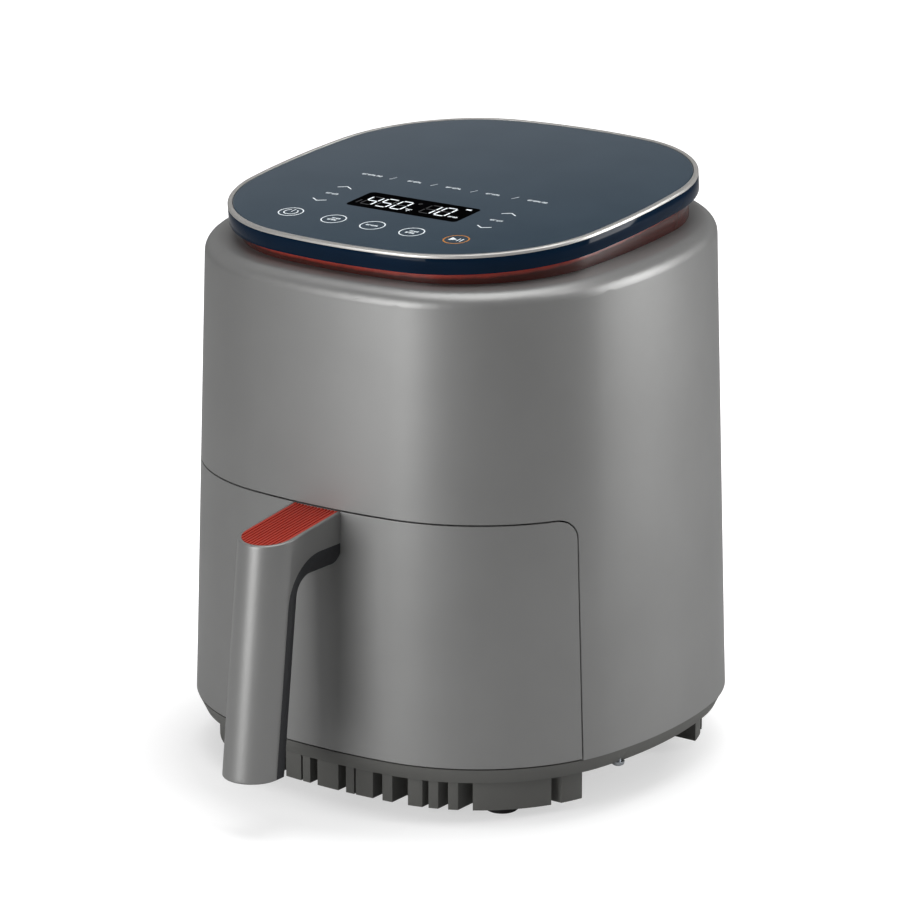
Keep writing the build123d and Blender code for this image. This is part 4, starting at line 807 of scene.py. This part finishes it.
def cross_head():
    """Pan head with a cross recess, its seat at the origin and its top along +Z."""
    work = bmesh.new()
    around, height = HEAD_SIDES, HEAD_HEIGHT
    turns = [2 * pi * i / around for i in range(around)]
    profile = ((1.0, 0.0), (1.0, 0.45), (0.9, 0.78), (0.66, 1.0))
    rings = [
        [work.verts.new(Vector((r * HEAD_RADIUS * cos(t), r * HEAD_RADIUS * sin(t), z * height)) * MM) for t in turns]
        for r, z in profile
    ]
    for first, second in zip(rings, rings[1:]):
        for i in range(around):
            j = (i + 1) % around
            work.faces.new((first[i], first[j], second[j], second[i]))
    work.faces.new(list(reversed(rings[0])))
    arm, half = RECESS_REACH, RECESS_HALF
    corners = (
        (arm, -half), (arm, half), (half, half), (half, arm), (-half, arm), (-half, half),
        (-arm, half), (-arm, -half), (-half, -half), (-half, -arm), (half, -arm), (half, -half),
    )
    lip = [work.verts.new(Vector((x, y, height)) * MM) for x, y in corners]
    depth = height - RECESS_DEPTH
    floor_of_cross = [work.verts.new(Vector((x * RECESS_TAPER, y * RECESS_TAPER, depth)) * MM) for x, y in corners]
    for i in range(12):
        j = (i + 1) % 12
        work.faces.new((lip[i], floor_of_cross[i], floor_of_cross[j], lip[j]))
    work.faces.new(floor_of_cross)
    rim_edges = [work.edges.get((rings[-1][i], rings[-1][(i + 1) % around])) for i in range(around)]
    lip_edges = [work.edges.get((lip[i], lip[(i + 1) % 12])) for i in range(12)]
    bmesh.ops.bridge_loops(work, edges=rim_edges + lip_edges)
    bmesh.ops.recalc_face_normals(work, faces=work.faces)
    mesh = bpy.data.meshes.new("cross_head")
    work.to_mesh(mesh)
    work.free()
    return mesh


head_source = bpy.data.objects.new("cross_head_source", cross_head())
screws, group_in, group_out, screw_inputs = geometry_tree(
    "screws", {"Turn X": 0.0, "Shank Length": 0.016, "Shank Radius": 0.0016, "Thread Pitch": 0.0012}
)
head_info = node(screws, "GeometryNodeObjectInfo", {"Object": head_source}, transform_space="ORIGINAL")
# The thread is a spiral of a coarse real pitch, swept with a small round section into the shank.
shank_length, shank_radius = group_in.outputs["Shank Length"], group_in.outputs["Shank Radius"]
pitch = group_in.outputs["Thread Pitch"]
turns = node(screws, "ShaderNodeMath", {0: shank_length, 1: pitch}, operation="DIVIDE")
spiral = node(
    screws, "GeometryNodeCurveSpiral",
    {"Resolution": 14, "Rotations": turns.outputs["Value"], "Start Radius": shank_radius,
     "End Radius": shank_radius, "Height": shank_length},
)
section = node(screws, "GeometryNodeCurvePrimitiveCircle", {"Resolution": 5, "Radius": 0.00022})
thread = node(
    screws, "GeometryNodeCurveToMesh",
    {"Curve": spiral.outputs["Curve"], "Profile Curve": section.outputs["Curve"], "Fill Caps": True},
)
core = node(
    screws, "GeometryNodeMeshCylinder", {"Vertices": 20, "Radius": shank_radius, "Depth": shank_length}
)
# The core is drawn about its middle and the thread from its start, so they go down by half and by all of the length.
lowered = []
for mesh_socket, share in ((core.outputs["Mesh"], -0.5), (thread.outputs["Mesh"], -1.0)):
    down = node(screws, "ShaderNodeMath", {0: shank_length, 1: share}, operation="MULTIPLY")
    shift = node(screws, "ShaderNodeCombineXYZ", {"Z": down.outputs["Value"]})
    lowered.append(
        node(screws, "GeometryNodeTransform", {"Geometry": mesh_socket, "Translation": shift.outputs["Vector"]})
    )
one_screw = node(screws, "GeometryNodeJoinGeometry")
for part_of_screw in (head_info, *lowered):
    screws.links.new(part_of_screw.outputs["Geometry"], one_screw.inputs["Geometry"])
turned = node(screws, "ShaderNodeCombineXYZ", {"X": group_in.outputs["Turn X"]})
placed = node(
    screws, "GeometryNodeInstanceOnPoints",
    {"Points": group_in.outputs["Geometry"], "Instance": one_screw.outputs["Geometry"],
     "Rotation": turned.outputs["Vector"]},
)
real = node(screws, "GeometryNodeRealizeInstances", {"Geometry": placed.outputs["Instances"]})
painted = node(screws, "GeometryNodeSetMaterial", {"Geometry": real.outputs["Geometry"], "Material": zinc_steel})
screws.links.new(painted.outputs["Geometry"], group_out.inputs["Geometry"])

# %% Screws in the base and behind the drawer's front
head_depth = HEAD_HEIGHT * MM
base_boxes = solids_of("base_screws")
base_seats = [Vector(((a.x + b.x) / 2, (a.y + b.y) / 2, a.z + head_depth)) for a, b in base_boxes]
base_length = base_boxes[0][1].z - base_boxes[0][0].z - head_depth
base_values = {"Turn X": pi, "Shank Length": base_length}
grown("base_screw_set", base_seats, screws, screw_inputs, base_values, zinc_steel, "housing", "screw_steel",
      "base_screws")
handle_boxes = solids_of("handle_screws")
handle_seats = [Vector(((a.x + b.x) / 2, b.y - head_depth, (a.z + b.z) / 2)) for a, b in handle_boxes]
handle_length = handle_boxes[0][1].y - handle_boxes[0][0].y - head_depth
handle_values = {"Turn X": -pi / 2, "Shank Length": handle_length}
grown("handle_screw_set", handle_seats, screws, screw_inputs, handle_values, zinc_steel, "drawer", "screw_steel",
      "handle_screws")

# %% [markdown]
# ## The stage
# A white studio: a floor and a surround that look white to the camera but give less light than they show, so that the
# shadow under the base stays. The floor's glow to the camera is also weaker round the middle, a painted shadow under
# the base. One soft light stands in front, one behind on the right draws a long highlight down that flank, a narrow one
# high on the right lifts the shoulder, and a large one overhead lights the lid.


# %% Floor, surround and lights
def soft_light(name, azimuth, elevation, distance, size, power):
    """A rectangular soft light that looks at the object from a direction."""
    data = bpy.data.lights.new(name, "AREA")
    data.shape = "RECTANGLE"
    data.size, data.size_y = size
    data.energy = power
    light = bpy.data.objects.new(name, data)
    light.visible_camera = False
    bpy.context.scene.collection.objects.link(light)
    aim(light, LOOK_AT + direction(azimuth, elevation) * distance, LOOK_AT)


floor_mesh = bpy.data.meshes.new("floor")
REACH = 6.0
floor_corners = [(-REACH, -REACH, 0), (REACH, -REACH, 0), (REACH, REACH, 0), (-REACH, REACH, 0)]
floor_mesh.from_pydata(floor_corners, [], [(0, 1, 2, 3)])
floor = bpy.data.objects.new("floor", floor_mesh)
bpy.context.scene.collection.objects.link(floor)
paper, paper_tree, paper_shader = material("white_paper", roughness=0.9, specular_ior_level=0.0)
surface(paper_tree, paper_shader, pattern(paper_tree, 300.0), ("#b4b4b4", "#b6b6b6"))
on_floor = node(paper_tree, "ShaderNodeTexCoord").outputs["Object"]
from_middle = node(paper_tree, "ShaderNodeVectorMath", {0: on_floor}, operation="LENGTH")
# Painted shadow: the floor's glow to the camera is 0.55 within 0.12 m of the middle and rises to 1.1 at 0.24 m, darker
# round the base.
painted_shadow_sweep = node(
    paper_tree, "ShaderNodeMapRange",
    {"Value": from_middle.outputs["Value"], "From Min": 0.12, "From Max": 0.24, "To Min": 0.55, "To Max": 1.1},
)
shown = node(
    paper_tree, "ShaderNodeMath",
    {0: painted_shadow_sweep.outputs["Result"], 1: node(paper_tree, "ShaderNodeLightPath").outputs["Is Camera Ray"]},
    operation="MULTIPLY",
)
paper_shader.inputs["Emission Color"].default_value = colour("#ffffff")
paper_tree.links.new(shown.outputs["Value"], paper_shader.inputs["Emission Strength"])
floor_mesh.materials.append(paper)

world = bpy.data.worlds.new("surround")
bpy.context.scene.world = world
world.use_nodes = True
sky = world.node_tree
rays = node(sky, "ShaderNodeLightPath")
where = node(sky, "ShaderNodeTexCoord")
height = node(sky, "ShaderNodeSeparateXYZ", {"Vector": where.outputs["Generated"]})
studio = node(sky, "ShaderNodeValToRGB", {"Fac": height.outputs["Z"]})
# Brightness of the surround by height. The lid reflects the fall near 0.35, so its glass darkens to the front.
SURROUND = ((0.0, 0.10), (0.335, 0.38), (0.378, 0.04), (0.75, 0.15), (1.0, 0.28))
while len(studio.color_ramp.elements) < len(SURROUND):
    studio.color_ramp.elements.new(0.5)
for element, (position, grey) in zip(studio.color_ramp.elements, SURROUND):
    element.position = position
    element.color = (grey, grey, grey * 1.02, 1.0)
seen = node(sky, "ShaderNodeMix", {"Factor": rays.outputs["Is Camera Ray"]}, data_type="RGBA")
sky.links.new(studio.outputs["Color"], seen.inputs[6])
seen.inputs[7].default_value = (1, 1, 1, 1)
sky.links.new(seen.outputs[2], sky.nodes["Background"].inputs["Color"])
sky.nodes["Background"].inputs["Strength"].default_value = 1.0

soft_light("front", -12, 8, 2.0, (0.9, 1.3), 25)
soft_light("right_rear", 130, 9, 2.0, (0.6, 1.4), 24)
soft_light("right_high", 100, 50, 2.0, (0.3, 0.9), 5)
soft_light("overhead", 0, 88, 1.8, (1.6, 1.6), 26)
